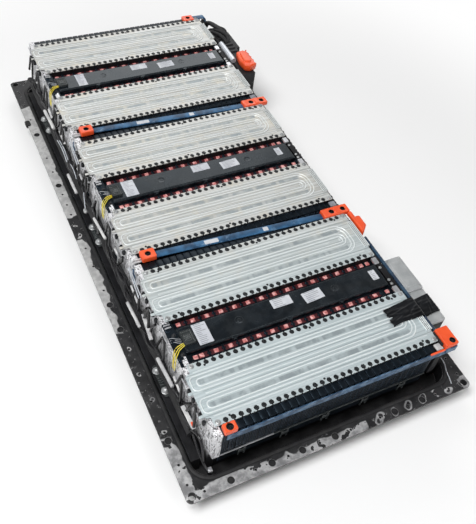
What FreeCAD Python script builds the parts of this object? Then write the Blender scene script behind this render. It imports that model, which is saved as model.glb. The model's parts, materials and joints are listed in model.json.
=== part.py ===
"""Electric car battery pack: an open tray with three cell blocks, each under two stamped cooling plates."""
import FreeCAD, Part
import math
import os

Vector = FreeCAD.Vector
UP = Vector(0, 0, 1)

# Stud rows and blocks, in millimetres
stud_pitch = 25.0
stud_count = 30
row_spacing = 198.0
cover_zone = 190.0
block_gap = 101.0
block_count = 3
plate_height = 292.0

# Tray
left_margin = 129.0
right_margin = 170.0
front_margin = 117.0
rear_margin = 79.0
tray_depth = 70.0
tray_sheet = 4.0
flange_thickness = 6.0
flange_land = 57.0
flange_corner = 18.0
pan_corner = 60.0
bead_count = 3
bead_width = 40.0
bead_depth = 2.0
bead_inset = 170.0
mount_hole_radius = 12.5
mount_hole_inset = 21.0

# Rubber pieces on the tray
seal_width = 14.0
seal_height = 7.0
seal_inset = 2.0
bumper_length = 34.0
bumper_reach = 8.0
bumper_inner = 14.0
bumper_height = 18.0
bumper_from_rear = 330.0

# Beams, rails and feet inside the tray
side_rail_width = 30.0
side_rail_height = 80.0
floor_rail_height = 10.0
floor_rail_width = 60.0
foot_width = 32.0
foot_height = 30.0
foot_sheet = 5.0
foot_cover = 24.0
foot_offset = 40.0
trunk_width = 26.0
trunk_chamfer = 7.0
trunk_gap = 12.0
trunk_height = 142.0
clip_block_length = 24.0
clip_block_height = 14.0
clip_block_inset = 120.0
trunk_front = 60.0
trunk_rear = 20.0

# Cells and their end plates
plate_lip = 10.0
middle_drop = 37.0
end_plate_thickness = 27.0
end_plate_height = 140.0
end_lug = 13.0

# Cooling plates
sheet = 3.0
plate_end = 12.0
notch_mouth = 15.0
notch_depth = 18.0
channel_width = 11.0
channel_height = 3.0
outer_lane = 58.5
inner_lane = 20.5
channel_left = -2.5
channel_right = 684.0
turn_steps = 4
wide_turn_steps = 6
tongue_reach = 31.0
tongue_inset = 22.0
tongue_chamfer = 12.0
hem_width = 16.0
hem_length = 128.0
hem_height = 5.0

# Combs of cell frame ends in front of and behind each block
front_reach = 40.0
rear_reach = 50.0
comb_drop = 10.0
comb_height = 110.0
base_clearance = 15.0
base_step = 5.0
groove_width = 3.0
groove_depth = 4.0
strip_thickness = 3.0
clip_spacing = 6
clip_length = 26.0
clip_drop = 20.0
clip_rise = 15.0
clip_reach = 4.0

# Middle of each block: tab frame, tabs, monitoring cover and its plug and lead
frame_thickness = 12.0
tab_size = 19.0
tab_rise = 3.0
tab_shift = 3.5
near_tab_inset = 28.0
far_tab_inset = 10.0
cover_end_gap = 8.0
cover_front = 44.0
cover_width = 95.0
cover_rise = 21.0
cover_step = 4.0
plug_length = 40.0
plug_width = 54.0
plug_rise = 8.0
lead_width = 10.0
lead_thickness = 5.0
lead_offset = 19.0
lead_arc_share = 0.45

# High voltage bars and their caps
bar_width = 28.0
bar_thickness = 5.0
bar_drop = 2.0
front_bar_height = 31.0
rear_bar_leg = 130.0
rear_bar_reach = 31.0
cap_length = 52.0
cap_width = 40.0
cap_height = 20.0
cap_start = 8.0
cap_hole_width = 17.0
cap_hole_depth = 12.0
front_cap_length = 42.0
twin_cap_length = 110.0
twin_cap_start = 705.0
twin_cap_height = 16.0
twin_cap_holes = (0.35, 0.8)
rear_cap_start = 712.0
rear_cap_height = 14.0
end_cap_length = 40.0
end_cap_overlap = 9.0
end_cap_depth = 72.0
end_cap_height = 24.0
end_cap_hole = (0.6, 0.22)
boot_depth = 78.0
boot_width = 34.0
boot_height = 36.0
boot_tip = 8.0
boot_taper = 26.0
boot_neck = 30.0
boot_neck_width = 16.0

# Pieces beside the right end plates
pipe_radius = 7.0
pipe_front = 34.0
pipe_to_boot = 14.0
box_gap = 16.0
box_width = 68.0
box_front = 66.0
box_length = 291.0
box_drop = 20.0
box_lid = 12.0
box_step = 8.0
box_step_length = 138.0
bracket_height = 16.0
bracket_inset = 45.0
bracket_width = 30.0
contactor_front = 158.0
contactor_length = 380.0
contactor_drop = 30.0
plug_body_front = 13.0
plug_body_length = 124.0
plug_body_height = 42.0
plug_body_inset = 16.0
plug_body_overhang = 12.0
hose_front = 95.0
hose_length = 142.0
hose_width = 27.0
cable_width = 22.0

seat_gap = 0.3

# Worked out from the sizes above
row_length = (stud_count + 1) * stud_pitch
block_depth = 2 * row_spacing + cover_zone
block_pitch = block_depth + block_gap
rows_depth = block_count * block_pitch - block_gap
flange_width = left_margin + row_length + right_margin
flange_length = front_margin + rows_depth + rear_margin
tray_left = (bumper_reach - flange_width) / 2
tray_right = tray_left + flange_width
tray_front = -flange_length / 2
tray_rear = flange_length / 2
row_left = tray_left + left_margin
row_right = row_left + row_length
row_front = tray_front + front_margin
end_left = row_left - end_plate_thickness
end_right = row_right + end_plate_thickness
cell_floor = tray_sheet + floor_rail_height
rail_top = tray_sheet + side_rail_height
plate_floor = plate_height - sheet
middle_top = plate_height - middle_drop
frame_top = middle_top + frame_thickness
cover_top = frame_top + cover_rise
comb_top = plate_height - comb_drop
comb_bottom = comb_top - comb_height
base_bottom = tray_depth + seal_height + base_clearance
box_left = end_right + box_gap
box_right = box_left + box_width
box_floor = rail_top + foot_sheet + seat_gap
lid_top = plate_height - box_drop
lid_bottom = lid_top - box_step - box_lid
contactor_top = plate_height - contactor_drop
trunk_right = end_left - trunk_gap
blocks = range(block_count)


def block_front(block):
    """Y of the first stud row of a block."""
    return row_front + block * block_pitch


def block_rear(block):
    """Y of the last stud row of a block."""
    return block_front(block) + block_depth


def middle_near(block):
    """Y where the space between the two cooling plates of a block starts."""
    return block_front(block) + row_spacing + plate_lip


def middle_far(block):
    """Y where the space between the two cooling plates of a block ends."""
    return block_rear(block) - row_spacing - plate_lip


def box(x0, x1, y0, y1, z0, z1):
    """Box between two corners."""
    return Part.makeBox(x1 - x0, y1 - y0, z1 - z0, Vector(x0, y0, z0))


def prism(points, z0, z1):
    """Straight-sided outline in plan, raised from z0 to z1."""
    corners = [Vector(x, y, z0) for x, y in points]
    face = Part.Face(Part.makePolygon(corners + corners[:1]))
    return face.extrude(UP * (z1 - z0))


def side_profile(points, x0, x1):
    """Outline in the Y-Z plane, run along X from x0 to x1."""
    corners = [Vector(x0, y, z) for y, z in points]
    face = Part.Face(Part.makePolygon(corners + corners[:1]))
    return face.extrude(Vector(x1 - x0, 0, 0))


def front_profile(points, y0, y1):
    """Outline in the X-Z plane, run along Y from y0 to y1."""
    corners = [Vector(x, y0, z) for x, z in points]
    face = Part.Face(Part.makePolygon(corners + corners[:1]))
    return face.extrude(Vector(0, y1 - y0, 0))


def rounded_box(x0, x1, y0, y1, z0, z1, radius):
    """Box with its four upright edges rounded."""
    solid = box(x0, x1, y0, y1, z0, z1)
    upright = [edge for edge in solid.Edges if abs(edge.tangentAt(edge.FirstParameter).z) > 0.99]
    return solid.makeFillet(radius, upright)


def chamfered(low, high, bottom, top, cut):
    """Corners of a rectangle with its four corners cut off."""
    return [(low + cut, bottom), (high - cut, bottom), (high, bottom + cut), (high, top - cut),
            (high - cut, top), (low + cut, top), (low, top - cut), (low, bottom + cut)]


def turn_points(x, y, radius, start, end, steps):
    """Corners of a pressed half turn, from one angle to another in equal steps."""
    angles = [math.radians(start + (end - start) * step / steps) for step in range(steps + 1)]
    return [(x + radius * math.cos(angle), y + radius * math.sin(angle)) for angle in angles]


def union(solids):
    """One clean solid from touching ones."""
    return solids[0].multiFuse(solids[1:]).removeSplitter()


def save(node, solids):
    """Write the solids of one node to its own file."""
    shape = Part.Compound([solid for item in solids for solid in item.Solids])
    shape.exportStep(os.path.join("parts", node + ".step"))


def inset_box(inset, z0, z1, radius):
    """Rounded box that follows the tray's edge at a distance inside it."""
    return rounded_box(tray_left + inset, tray_right - inset, tray_front + inset,
                       tray_rear - inset, z0, z1, radius)


def tray():
    """Pressed pan with a flat flange, corner mounting holes and beads pressed into its floor."""
    flange_bottom = tray_depth - flange_thickness
    flange = inset_box(0, flange_bottom, tray_depth, flange_corner)
    shell = inset_box(flange_land - tray_sheet, 0, flange_bottom, pan_corner + tray_sheet)
    hollow = inset_box(flange_land, tray_sheet, tray_depth, pan_corner)
    cuts = [hollow]
    for number in range(1, bead_count + 1):
        x = tray_left + number * flange_width / (bead_count + 1)
        cuts.append(box(x - bead_width / 2, x + bead_width / 2, tray_front + bead_inset,
                        tray_rear - bead_inset, 0, bead_depth))
    for x in (tray_left + mount_hole_inset, tray_right - mount_hole_inset):
        for y in (tray_front + mount_hole_inset, tray_rear - mount_hole_inset):
            cuts.append(Part.makeCylinder(mount_hole_radius, flange_thickness,
                                          Vector(x, y, flange_bottom), UP))
    return flange.fuse(shell).cut(Part.Compound(cuts)).removeSplitter()


def cover_seal():
    """Rubber ring round the mouth of the pan."""
    inner = flange_land - seal_inset
    outer = inner - seal_width
    top = tray_depth + seal_height
    around = inset_box(outer, tray_depth, top, pan_corner + flange_land - outer)
    hole = inset_box(inner, tray_depth, top, pan_corner + flange_land - inner)
    return around.cut(hole)


def edge_bumper():
    """Rubber block clipped over the left edge of the flange."""
    y = tray_rear - bumper_from_rear
    middle = tray_depth - flange_thickness / 2
    outside = box(tray_left - bumper_reach, tray_left + bumper_inner, y, y + bumper_length,
                  middle - bumper_height / 2, middle + bumper_height / 2)
    slot = box(tray_left, tray_left + bumper_inner, y, y + bumper_length,
               tray_depth - flange_thickness, tray_depth)
    return outside.cut(slot)


def side_rails():
    """Two beams along the pan's long walls, which the feet stand on."""
    wall_left = tray_left + flange_land
    wall_right = tray_right - flange_land
    y0 = tray_front + flange_land + pan_corner
    y1 = tray_rear - flange_land - pan_corner
    return [box(wall_left, wall_left + side_rail_width, y0, y1, tray_sheet, rail_top),
            box(wall_right - side_rail_width, wall_right, y0, y1, tray_sheet, rail_top)]


def floor_rails():
    """Rails on the pan floor, one under each bank of cells."""
    rails = []
    for block in blocks:
        for y in (block_front(block) + row_spacing / 2, block_rear(block) - row_spacing / 2):
            rails.append(box(row_left, row_right, y - floor_rail_width / 2,
                             y + floor_rail_width / 2, tray_sheet, cell_floor))
    return rails


def mount_feet():
    """Angle brackets from the end plates to the side rails, two at each end of a block."""
    feet = []
    sides = ((end_left, tray_left + flange_land, -1), (end_right, tray_right - flange_land, 1))
    for block in blocks:
        middle = (block_front(block) + block_rear(block)) / 2
        for wall, rail, side in sides:
            edge = rail - side * (side_rail_width - foot_cover)
            outline = [(wall, rail_top), (edge, rail_top), (edge, rail_top + foot_sheet),
                       (wall + side * foot_sheet, rail_top + foot_sheet),
                       (wall + side * foot_sheet, rail_top + foot_height),
                       (wall, rail_top + foot_height)]
            for y in (middle - foot_offset, middle + foot_offset):
                feet.append(front_profile(outline, y - foot_width / 2, y + foot_width / 2))
    return feet


def harness_trunk():
    """Taped bundle of wires along the left end plates of the whole pack."""
    bottom = trunk_height - trunk_width / 2
    outline = chamfered(trunk_right - trunk_width, trunk_right, bottom, bottom + trunk_width, trunk_chamfer)
    return front_profile(outline, block_front(0) + trunk_front, block_rear(block_count - 1) - trunk_rear)


def trunk_clips():
    """Clip blocks that hold the trunk to the left end plates, two to a block."""
    clips = []
    bottom = trunk_height - clip_block_height / 2
    for block in blocks:
        for y in (block_front(block) + clip_block_inset, block_rear(block) - clip_block_inset):
            clips.append(box(trunk_right, end_left, y - clip_block_length / 2,
                             y + clip_block_length / 2, bottom, bottom + clip_block_height))
    return clips


def cell_stack(block):
    """Sealed stack of cells: two high banks and the lower middle that carries the tabs."""
    front = block_front(block) - plate_lip
    rear = block_rear(block) + plate_lip
    near = middle_near(block)
    far = middle_far(block)
    outline = [(front, cell_floor), (rear, cell_floor), (rear, plate_floor), (far, plate_floor),
               (far, middle_top), (near, middle_top), (near, plate_floor), (front, plate_floor)]
    return side_profile(outline, row_left, row_right)


def notched_outline(front, rear):
    """Plan outline of a plate whose long edges have one notch at each stud."""
    left = row_left - plate_end
    right = row_right + plate_end
    studs = [row_left + number * stud_pitch for number in range(1, stud_count + 1)]
    half = notch_mouth / 2
    points = [(left, front)]
    for x in studs:
        points += [(x - half, front), (x, front + notch_depth), (x + half, front)]
    points += [(right, front), (right, rear)]
    for x in reversed(studs):
        points += [(x + half, rear), (x, rear - notch_depth), (x - half, rear)]
    return points + [(left, rear)]


def channel_outline(y, grow):
    """One side of the coolant channel: four lanes joined by four half turns, set off by grow."""
    left = row_left + channel_left
    right = row_left + channel_right
    pair_middle = (outer_lane + inner_lane) / 2
    pair_turn = (outer_lane - inner_lane) / 2 + grow
    points = turn_points(left, y - pair_middle, pair_turn, 270, 90, turn_steps)
    points += turn_points(right, y, inner_lane - grow, -90, 90, turn_steps)
    points += turn_points(left, y + pair_middle, pair_turn, 270, 90, turn_steps)
    points += turn_points(right, y, outer_lane + grow, 90, -90, wide_turn_steps)
    return points


def cooling_plate(front):
    """Stamped plate with notched edges, a tongue, a folded hem and one raised serpentine channel."""
    rear = front + row_spacing
    middle = (front + rear) / 2
    blank = prism(notched_outline(front - plate_lip, rear + plate_lip), plate_floor, plate_height)
    tongue_points = chamfered(row_left - tongue_reach, row_left + plate_end, front + tongue_inset,
                              rear - tongue_inset, tongue_chamfer)
    tongue = prism(tongue_points, plate_floor, plate_height)
    hem_right = row_right + plate_end
    hem = box(hem_right - hem_width, hem_right, middle - hem_length / 2, middle + hem_length / 2,
              plate_height, plate_height + hem_height)
    crest = plate_height + channel_height
    outside = prism(channel_outline(middle, channel_width / 2), plate_height, crest)
    inside = prism(channel_outline(middle, -channel_width / 2), plate_height, crest)
    return union([blank, tongue, hem, outside.cut(inside)])


def front_comb(block):
    """Cell frame ends on the near side, one to each stud, above a plain base."""
    inner = block_front(block) - plate_lip
    outer = block_front(block) - front_reach
    right = row_right - end_lug
    points = [(right, inner), (row_left, inner), (row_left, outer)]
    for number in range(stud_count):
        x = row_left + (number + 0.5) * stud_pitch
        points += [(x - groove_width / 2, outer), (x, outer + groove_depth),
                   (x + groove_width / 2, outer)]
    points.append((right, outer))
    upper = prism(points, comb_bottom, comb_top)
    base = box(row_left, right, outer + base_step, inner, base_bottom, comb_bottom)
    return union([upper, base])


def rear_comb(block):
    """Cell frame ends on the far side, which carry the crossing bar."""
    inner = block_rear(block) + plate_lip
    outer = block_rear(block) + rear_reach
    outline = [(inner, base_bottom), (outer - base_step, base_bottom),
               (outer - base_step, comb_bottom), (outer, comb_bottom), (outer, comb_top),
               (inner, comb_top)]
    return side_profile(outline, row_left, row_right - end_lug)


def clamp_strips():
    """Bright strips under the front combs, one to a block."""
    strips = []
    for block in blocks:
        outer = block_front(block) - front_reach
        strips.append(box(row_left, row_right - end_lug, outer - seat_gap, outer + base_step,
                          comb_bottom - strip_thickness, comb_bottom))
    return strips


def rail_clips():
    """Clips along the base of the front comb, one to every few studs."""
    outer = block_front(0) - front_reach + base_step
    clips = []
    for number in range(clip_spacing // 2, stud_count, clip_spacing):
        x = row_left + (number + 0.5) * stud_pitch
        clips.append(box(x - clip_length / 2, x + clip_length / 2, outer - clip_reach, outer,
                         base_bottom + clip_rise, comb_bottom - clip_drop))
    return clips


def end_plate(block, side):
    """Cast end plate: wide at the combs, narrow where it stands in the pan."""
    near = block_front(block) - front_reach
    far = block_rear(block) + rear_reach
    front = block_front(block) - plate_lip
    rear = block_rear(block) + plate_lip
    shoulder = comb_top - end_plate_height
    outline = [(front, cell_floor), (rear, cell_floor), (rear, shoulder), (far, shoulder),
               (far, comb_top), (near, comb_top), (near, shoulder), (front, shoulder)]
    if side < 0:
        return side_profile(outline, end_left, row_left)
    lugs = [box(row_right - end_lug, row_right, y0, y1, shoulder, comb_top)
            for y0, y1 in ((near, front), (rear, far))]
    return union([side_profile(outline, row_right, end_right)] + lugs)


def tab_frame(block):
    """Plastic frame that carries the tabs and the monitoring cover."""
    return box(row_left, row_right, middle_near(block) + seat_gap, middle_far(block) - seat_gap,
               middle_top, frame_top)


def cell_tabs(block):
    """Copper tabs in two rows, every second stud, with one pair side by side in each row."""
    rows = ((middle_near(block) + near_tab_inset, 2, 1),
            (middle_far(block) - far_tab_inset, 1, stud_count))
    half = tab_size / 2
    tabs = []
    for y, first, extra in rows:
        for number in list(range(first, stud_count + 1, 2)) + [extra]:
            x = row_left + number * stud_pitch + tab_shift
            tabs.append(box(x - half, x + half, y - half, y + half, frame_top, frame_top + tab_rise))
    return tabs


def monitor_cover(block):
    """Moulded cover with a stepped top over the middle of a block."""
    left = row_left + cover_end_gap
    right = row_right - cover_end_gap
    near = middle_near(block) + cover_front
    far = near + cover_width
    step = cover_step
    body = prism(chamfered(left, right, near, far, step), frame_top, cover_top - step)
    crown = prism(chamfered(left + step, right - step, near + step, far - step, step),
                  cover_top - step, cover_top)
    return union([body, crown])


def plug_middle(block):
    """Y of the middle of the signal plug."""
    return middle_near(block) + cover_front + cover_width / 2


def cover_plug(block):
    """Signal plug on the left end of the monitoring cover."""
    left = row_left + cover_end_gap + cover_step
    y = plug_middle(block)
    return box(left, left + plug_length, y - plug_width / 2, y + plug_width / 2,
               cover_top, cover_top + plug_rise)


def lead_path(points):
    """Straight runs joined by tangent arcs, each as large as its shorter run allows."""
    corners = [Vector(*point) for point in points]
    edges = []
    start = corners[0]
    for before, corner, after in zip(corners, corners[1:], corners[2:]):
        back = (before - corner).normalize()
        ahead = (after - corner).normalize()
        turn = math.pi - back.getAngle(ahead)
        reach = lead_arc_share * min((before - corner).Length, (after - corner).Length)
        radius = reach / math.tan(turn / 2)
        depth = radius / math.cos(turn / 2) - radius
        middle = corner + (back + ahead).normalize() * depth
        enter = corner + back * reach
        leave = corner + ahead * reach
        edges.append(Part.makeLine(start, enter))
        edges.append(Part.Arc(enter, middle, leave).toShape())
        start = leave
    edges.append(Part.makeLine(start, corners[-1]))
    return Part.Wire(edges)


def flat_lead(points, width, thickness):
    """Flat bundle of wires along points in one X-Z plane."""
    x, y, z = points[0]
    half_w = width / 2
    half_t = thickness / 2
    corners = [Vector(x, y - half_w, z - half_t), Vector(x, y + half_w, z - half_t),
               Vector(x, y + half_w, z + half_t), Vector(x, y - half_w, z + half_t)]
    profile = Part.makePolygon(corners + corners[:1])
    return lead_path(points).makePipeShell([profile], True, False)


def sense_leads():
    """Wires from each signal plug, over the end plate and down to the trunk."""
    leads = []
    start = row_left + cover_end_gap + cover_step
    z = cover_top + lead_thickness / 2
    outer = trunk_right - trunk_width / 2
    for block in blocks:
        y = plug_middle(block) - lead_offset
        points = [(start, y, z), (outer, y, z), (outer, y, trunk_height + trunk_width / 2)]
        leads.append(flat_lead(points, lead_width, lead_thickness))
    return leads


def cap_wells(top, holes):
    """Wells with cut corners, down from the top of a cap to its screws."""
    half = cap_hole_width / 2
    wells = [prism(chamfered(x - half, x + half, y - half, y + half, half / 2),
                   top - cap_hole_depth, top) for x, y in holes]
    return Part.Compound(wells)


def cap(x0, x1, y0, y1, z0, z1, holes):
    """Insulating cap with a well over each of its screws."""
    return box(x0, x1, y0, y1, z0, z1).cut(cap_wells(z1, holes))


def front_busbar():
    """Insulated bar on edge along the face of the front comb."""
    face = block_front(0) - front_reach
    top = comb_top - bar_drop
    return box(row_left + cap_start, end_right, face - bar_thickness, face, top - front_bar_height, top)


def front_left_cap():
    """Cap over the left end of the front bar."""
    rear = block_front(0) - plate_lip - seat_gap
    x = row_left + cap_start / 2
    middle = (x + front_cap_length / 2, (rear + block_front(0) - front_reach) / 2)
    return cap(x, x + front_cap_length, block_front(0) - front_reach, rear, comb_top,
               comb_top + cap_height, [middle])


def front_right_cap():
    """Larger cap that carries the front bar's connection over and past the right end plate."""
    near = block_front(0) - front_reach - bar_thickness
    left = end_right - end_cap_overlap
    right = end_right + end_cap_length
    top = comb_top + cap_height
    low = comb_top - end_cap_height
    outline = [(left, comb_top), (end_right, comb_top), (end_right, low), (right, low), (right, top),
               (left, top)]
    across, along = end_cap_hole
    hole = (end_right + end_cap_length * across, near + end_cap_depth * along)
    return front_profile(outline, near, near + end_cap_depth).cut(cap_wells(top, [hole]))


def crossing_ends(block):
    """Y of the left and right end of the bar from the next block's front to this block's rear."""
    left = block_front(block + 1) - plate_lip - seat_gap - cap_width / 2
    right = block_rear(block) + plate_lip + seat_gap + cap_width / 2
    return left, right


def crossing_busbars():
    """Insulated bars that cross the gaps between the blocks at a slight slant."""
    bars = []
    start = row_left + cap_start + cap_length
    end = row_left + twin_cap_start
    half = bar_width / 2
    for block in blocks[:-1]:
        left, right = crossing_ends(block)
        points = [(start, left - half), (end, right - half), (end, right + half),
                  (start, left + half)]
        bars.append(prism(points, comb_top, comb_top + bar_thickness))
    return bars


def crossing_left_caps():
    """Caps over the left ends of the crossing bars."""
    caps = []
    x = row_left + cap_start
    for block in blocks[:-1]:
        y = crossing_ends(block)[0]
        caps.append(cap(x, x + cap_length, y - cap_width / 2, y + cap_width / 2, comb_top,
                        comb_top + cap_height, [(x + cap_length / 2, y)]))
    return caps


def crossing_right_caps():
    """Long caps over the right ends of the crossing bars, each over two screws."""
    caps = []
    x = row_left + twin_cap_start
    for block in blocks[:-1]:
        y = crossing_ends(block)[1]
        holes = [(x + twin_cap_length * share, y) for share in twin_cap_holes]
        caps.append(cap(x, x + twin_cap_length, y - cap_width / 2, y + cap_width / 2, comb_top,
                        comb_top + twin_cap_height, holes))
    return caps


def boot_rear():
    """Y of the rear of the insulating boot, beside the first long cap."""
    return crossing_ends(0)[1] - cap_width / 2 - seat_gap


def cable_boot():
    """Insulating boot with a tapered front and a neck up to the first long cap."""
    far = boot_rear() - boot_neck
    near = far - boot_depth
    right = end_right + boot_width
    top = comb_top + twin_cap_height
    outline = [(end_right, near), (end_right + boot_tip, near), (right, near + boot_taper), (right, far),
               (end_right, far)]
    body = prism(outline, top - boot_height, top)
    neck = box(end_right, end_right + boot_neck_width, far, far + boot_neck, comb_top, top)
    return union([body, neck])


def rear_busbar():
    """Angled bar from the last block's rear comb, out over the right end plate and down."""
    start = row_left + rear_cap_start + cap_length
    rear = block_rear(block_count - 1) + rear_reach
    top = comb_top + bar_thickness
    outer = end_right + rear_bar_reach
    inner = outer - bar_thickness
    outline = [(start, comb_top), (inner, comb_top), (inner, comb_top - rear_bar_leg),
               (outer, comb_top - rear_bar_leg), (outer, top), (start, top)]
    return front_profile(outline, rear - bar_width, rear)


def rear_cap():
    """Cap over the screw of the rear bar."""
    rear = block_rear(block_count - 1) + rear_reach
    near = block_rear(block_count - 1) + plate_lip + seat_gap
    x = row_left + rear_cap_start
    return cap(x, x + cap_length, near, rear, comb_top, comb_top + rear_cap_height,
               [(x + cap_length / 2, (near + rear) / 2)])


def coolant_pipe():
    """Pipe along the upper edge of the first block's right end plate."""
    start = Vector(end_right + pipe_radius, block_front(0) + pipe_front, comb_top - pipe_radius)
    length = boot_rear() - boot_neck - boot_depth - pipe_to_boot - start.y
    return Part.makeCylinder(pipe_radius, length, start, Vector(0, 1, 0))


def junction_box():
    """Housing of the control unit beside the first block."""
    y = block_front(0) + box_front
    return box(box_left, box_right, y, y + box_length, box_floor, lid_bottom)


def junction_lid():
    """Lid of the control unit, with its front part one step lower."""
    y = block_front(0) + box_front
    rear = y + box_length
    step = y + box_step_length
    outline = [(y, lid_bottom), (rear, lid_bottom), (rear, lid_top), (step, lid_top),
               (step, lid_top - box_step), (y, lid_top - box_step)]
    return side_profile(outline, box_left, box_right)


def box_brackets():
    """Spacers that hold the two housings to the right end plates."""
    spans = ((block_front(0) + box_front, box_length),
             (contactor_y(), contactor_length))
    brackets = []
    for y, length in spans:
        for middle in (y + bracket_inset, y + length - bracket_inset):
            z = box_floor + foot_height
            brackets.append(box(end_right, box_left, middle - bracket_width / 2,
                                middle + bracket_width / 2, z, z + bracket_height))
    return brackets


def contactor_y():
    """Y of the front of the contactor housing."""
    return block_front(block_count - 1) + contactor_front


def contactor_box():
    """Housing of the contactors beside the last block."""
    y = contactor_y()
    return box(box_left, box_right, y, y + contactor_length, box_floor, contactor_top)


def service_plug():
    """Service disconnect plug on top of the contactor housing."""
    y = contactor_y() + plug_body_front
    outline = chamfered(y, y + plug_body_length, contactor_top, contactor_top + plug_body_height,
                        plug_body_overhang)
    return side_profile(outline, box_left + plug_body_inset, box_right + plug_body_overhang)


def shielded_hose():
    """Foil covered hose on the contactor housing, along the last right end plate."""
    y = contactor_y() + hose_front
    outline = chamfered(end_right, end_right + hose_width, contactor_top, contactor_top + hose_width,
                        hose_width / 4)
    return front_profile(outline, y, y + hose_length)


def power_cable():
    """Cable from the contactor housing forward along the right side rail."""
    x = (box_left + box_right) / 2
    y = contactor_y()
    outline = chamfered(x - cable_width / 2, x + cable_width / 2, box_floor, box_floor + cable_width,
                        cable_width / 4)
    return front_profile(outline, block_front(0) + box_front + box_length, y)


def main():
    """Build every sub-part and write it out."""
    os.makedirs("parts", exist_ok=True)
    save("tray", [tray()])
    save("cover_seal", [cover_seal()])
    save("edge_bumper", [edge_bumper()])
    save("side_rails", side_rails())
    save("floor_rails", floor_rails())
    save("mount_feet", mount_feet())
    save("harness_trunk", [harness_trunk()])
    save("trunk_clips", trunk_clips())
    save("cover_plugs", [cover_plug(block) for block in blocks])
    save("clamp_strips", clamp_strips())
    save("rail_clips", rail_clips())
    save("sense_leads", sense_leads())
    save("front_busbar", [front_busbar()])
    save("front_left_cap", [front_left_cap()])
    save("front_right_cap", [front_right_cap()])
    save("crossing_busbars", crossing_busbars())
    save("crossing_left_caps", crossing_left_caps())
    save("crossing_right_caps", crossing_right_caps())
    save("cable_boot", [cable_boot()])
    save("rear_busbar", [rear_busbar()])
    save("rear_cap", [rear_cap()])
    save("coolant_pipe", [coolant_pipe()])
    save("junction_box", [junction_box()])
    save("junction_lid", [junction_lid()])
    save("box_brackets", box_brackets())
    save("contactor_box", [contactor_box()])
    save("service_plug", [service_plug()])
    save("shielded_hose", [shielded_hose()])
    save("power_cable", [power_cable()])
    for block in blocks:
        tag = "_" + str(block + 1)
        far_front = block_front(block) + row_spacing + cover_zone
        save("cell_stack" + tag, [cell_stack(block)])
        save("front_comb" + tag, [front_comb(block)])
        save("rear_comb" + tag, [rear_comb(block)])
        save("left_end_plate" + tag, [end_plate(block, -1)])
        save("right_end_plate" + tag, [end_plate(block, 1)])
        save("near_cooling_plate" + tag, [cooling_plate(block_front(block))])
        save("far_cooling_plate" + tag, [cooling_plate(far_front)])
        save("tab_frame" + tag, [tab_frame(block)])
        save("cell_tabs" + tag, cell_tabs(block))
        save("monitor_cover" + tag, [monitor_cover(block)])


main()
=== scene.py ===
import json
import math
import random

import bmesh
import bpy
from mathutils import Matrix, Vector, noise


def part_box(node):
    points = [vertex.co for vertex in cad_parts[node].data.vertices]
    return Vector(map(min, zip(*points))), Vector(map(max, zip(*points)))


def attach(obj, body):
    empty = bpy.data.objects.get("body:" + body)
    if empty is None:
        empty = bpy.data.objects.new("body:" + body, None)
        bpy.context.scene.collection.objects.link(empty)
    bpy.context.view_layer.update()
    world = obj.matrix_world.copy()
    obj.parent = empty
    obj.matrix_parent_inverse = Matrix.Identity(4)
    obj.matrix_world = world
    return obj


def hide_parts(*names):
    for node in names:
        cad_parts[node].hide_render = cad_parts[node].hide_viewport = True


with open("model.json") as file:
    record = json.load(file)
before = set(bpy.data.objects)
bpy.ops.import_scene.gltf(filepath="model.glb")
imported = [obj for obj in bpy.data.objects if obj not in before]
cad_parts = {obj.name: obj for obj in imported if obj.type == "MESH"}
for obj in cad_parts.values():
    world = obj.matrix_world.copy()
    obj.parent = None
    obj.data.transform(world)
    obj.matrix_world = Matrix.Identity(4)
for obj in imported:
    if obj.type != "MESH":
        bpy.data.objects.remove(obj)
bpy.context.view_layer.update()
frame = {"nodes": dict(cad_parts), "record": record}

# Lengths below are in millimetres. A finished piece is scaled to metres.
MM = 0.001
BLOCKS = range(3)


def box_mm(node):
    """Lowest and highest corner of a frame node."""
    low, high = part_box(node)
    return low / MM, high / MM


STACKS = [box_mm("cell_stack_%d" % (block + 1)) for block in BLOCKS]
PLATE_LIP = 10.0
ROW_LEFT = STACKS[0][0].x
ROW_RIGHT = STACKS[0][1].x
ROW_LENGTH = ROW_RIGHT - ROW_LEFT
FRONTS = [low.y + PLATE_LIP for low, high in STACKS]
BLOCK_DEPTH = STACKS[0][1].y - STACKS[0][0].y - 2 * PLATE_LIP
MIDDLE_LOW, MIDDLE_HIGH = box_mm("tab_frame_1")
ROW_SPACING = MIDDLE_LOW.y - FRONTS[0] - PLATE_LIP - 0.3
FAR_ROW = BLOCK_DEPTH - ROW_SPACING
STUD_ROWS = (0, ROW_SPACING, FAR_ROW, BLOCK_DEPTH)
STUD_PITCH = 25.0
STUD_COUNT = round(ROW_LENGTH / STUD_PITCH) - 1
SHEET = 3.0
PLATE_TOP = STACKS[0][1].z + SHEET
FRAME_TOP = MIDDLE_HIGH.z
COMB_TOP = box_mm("front_comb_1")[1].z
LEFT_PLATE_LOW = box_mm("left_end_plate_1")[0]
RIGHT_PLATE_HIGH = box_mm("right_end_plate_1")[1]
TRAY_LOW, TRAY_HIGH = box_mm("tray")
FLANGE_TOP = TRAY_HIGH.z


def at(block, x, y, z=0.0):
    """Place on a block: x from its left end, y from its first stud row, z from the plates' top."""
    return Vector((ROW_LEFT + x, FRONTS[block] + y, PLATE_TOP + z))


def beside_first(x, y, z):
    """Place with x and y on the first block and z of the part."""
    return Vector((ROW_LEFT + x, FRONTS[0] + y, z))


# Shader groups


def add_node(tree, kind, inputs=None, **settings):
    """New node with its settings, each input linked to a socket or set to a plain value."""
    node = tree.nodes.new(kind)
    for label, value in settings.items():
        setattr(node, label, value)
    for label, value in (inputs or {}).items():
        if isinstance(value, bpy.types.NodeSocket):
            tree.links.new(value, node.inputs[label])
        else:
            node.inputs[label].default_value = value
    return node


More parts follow.
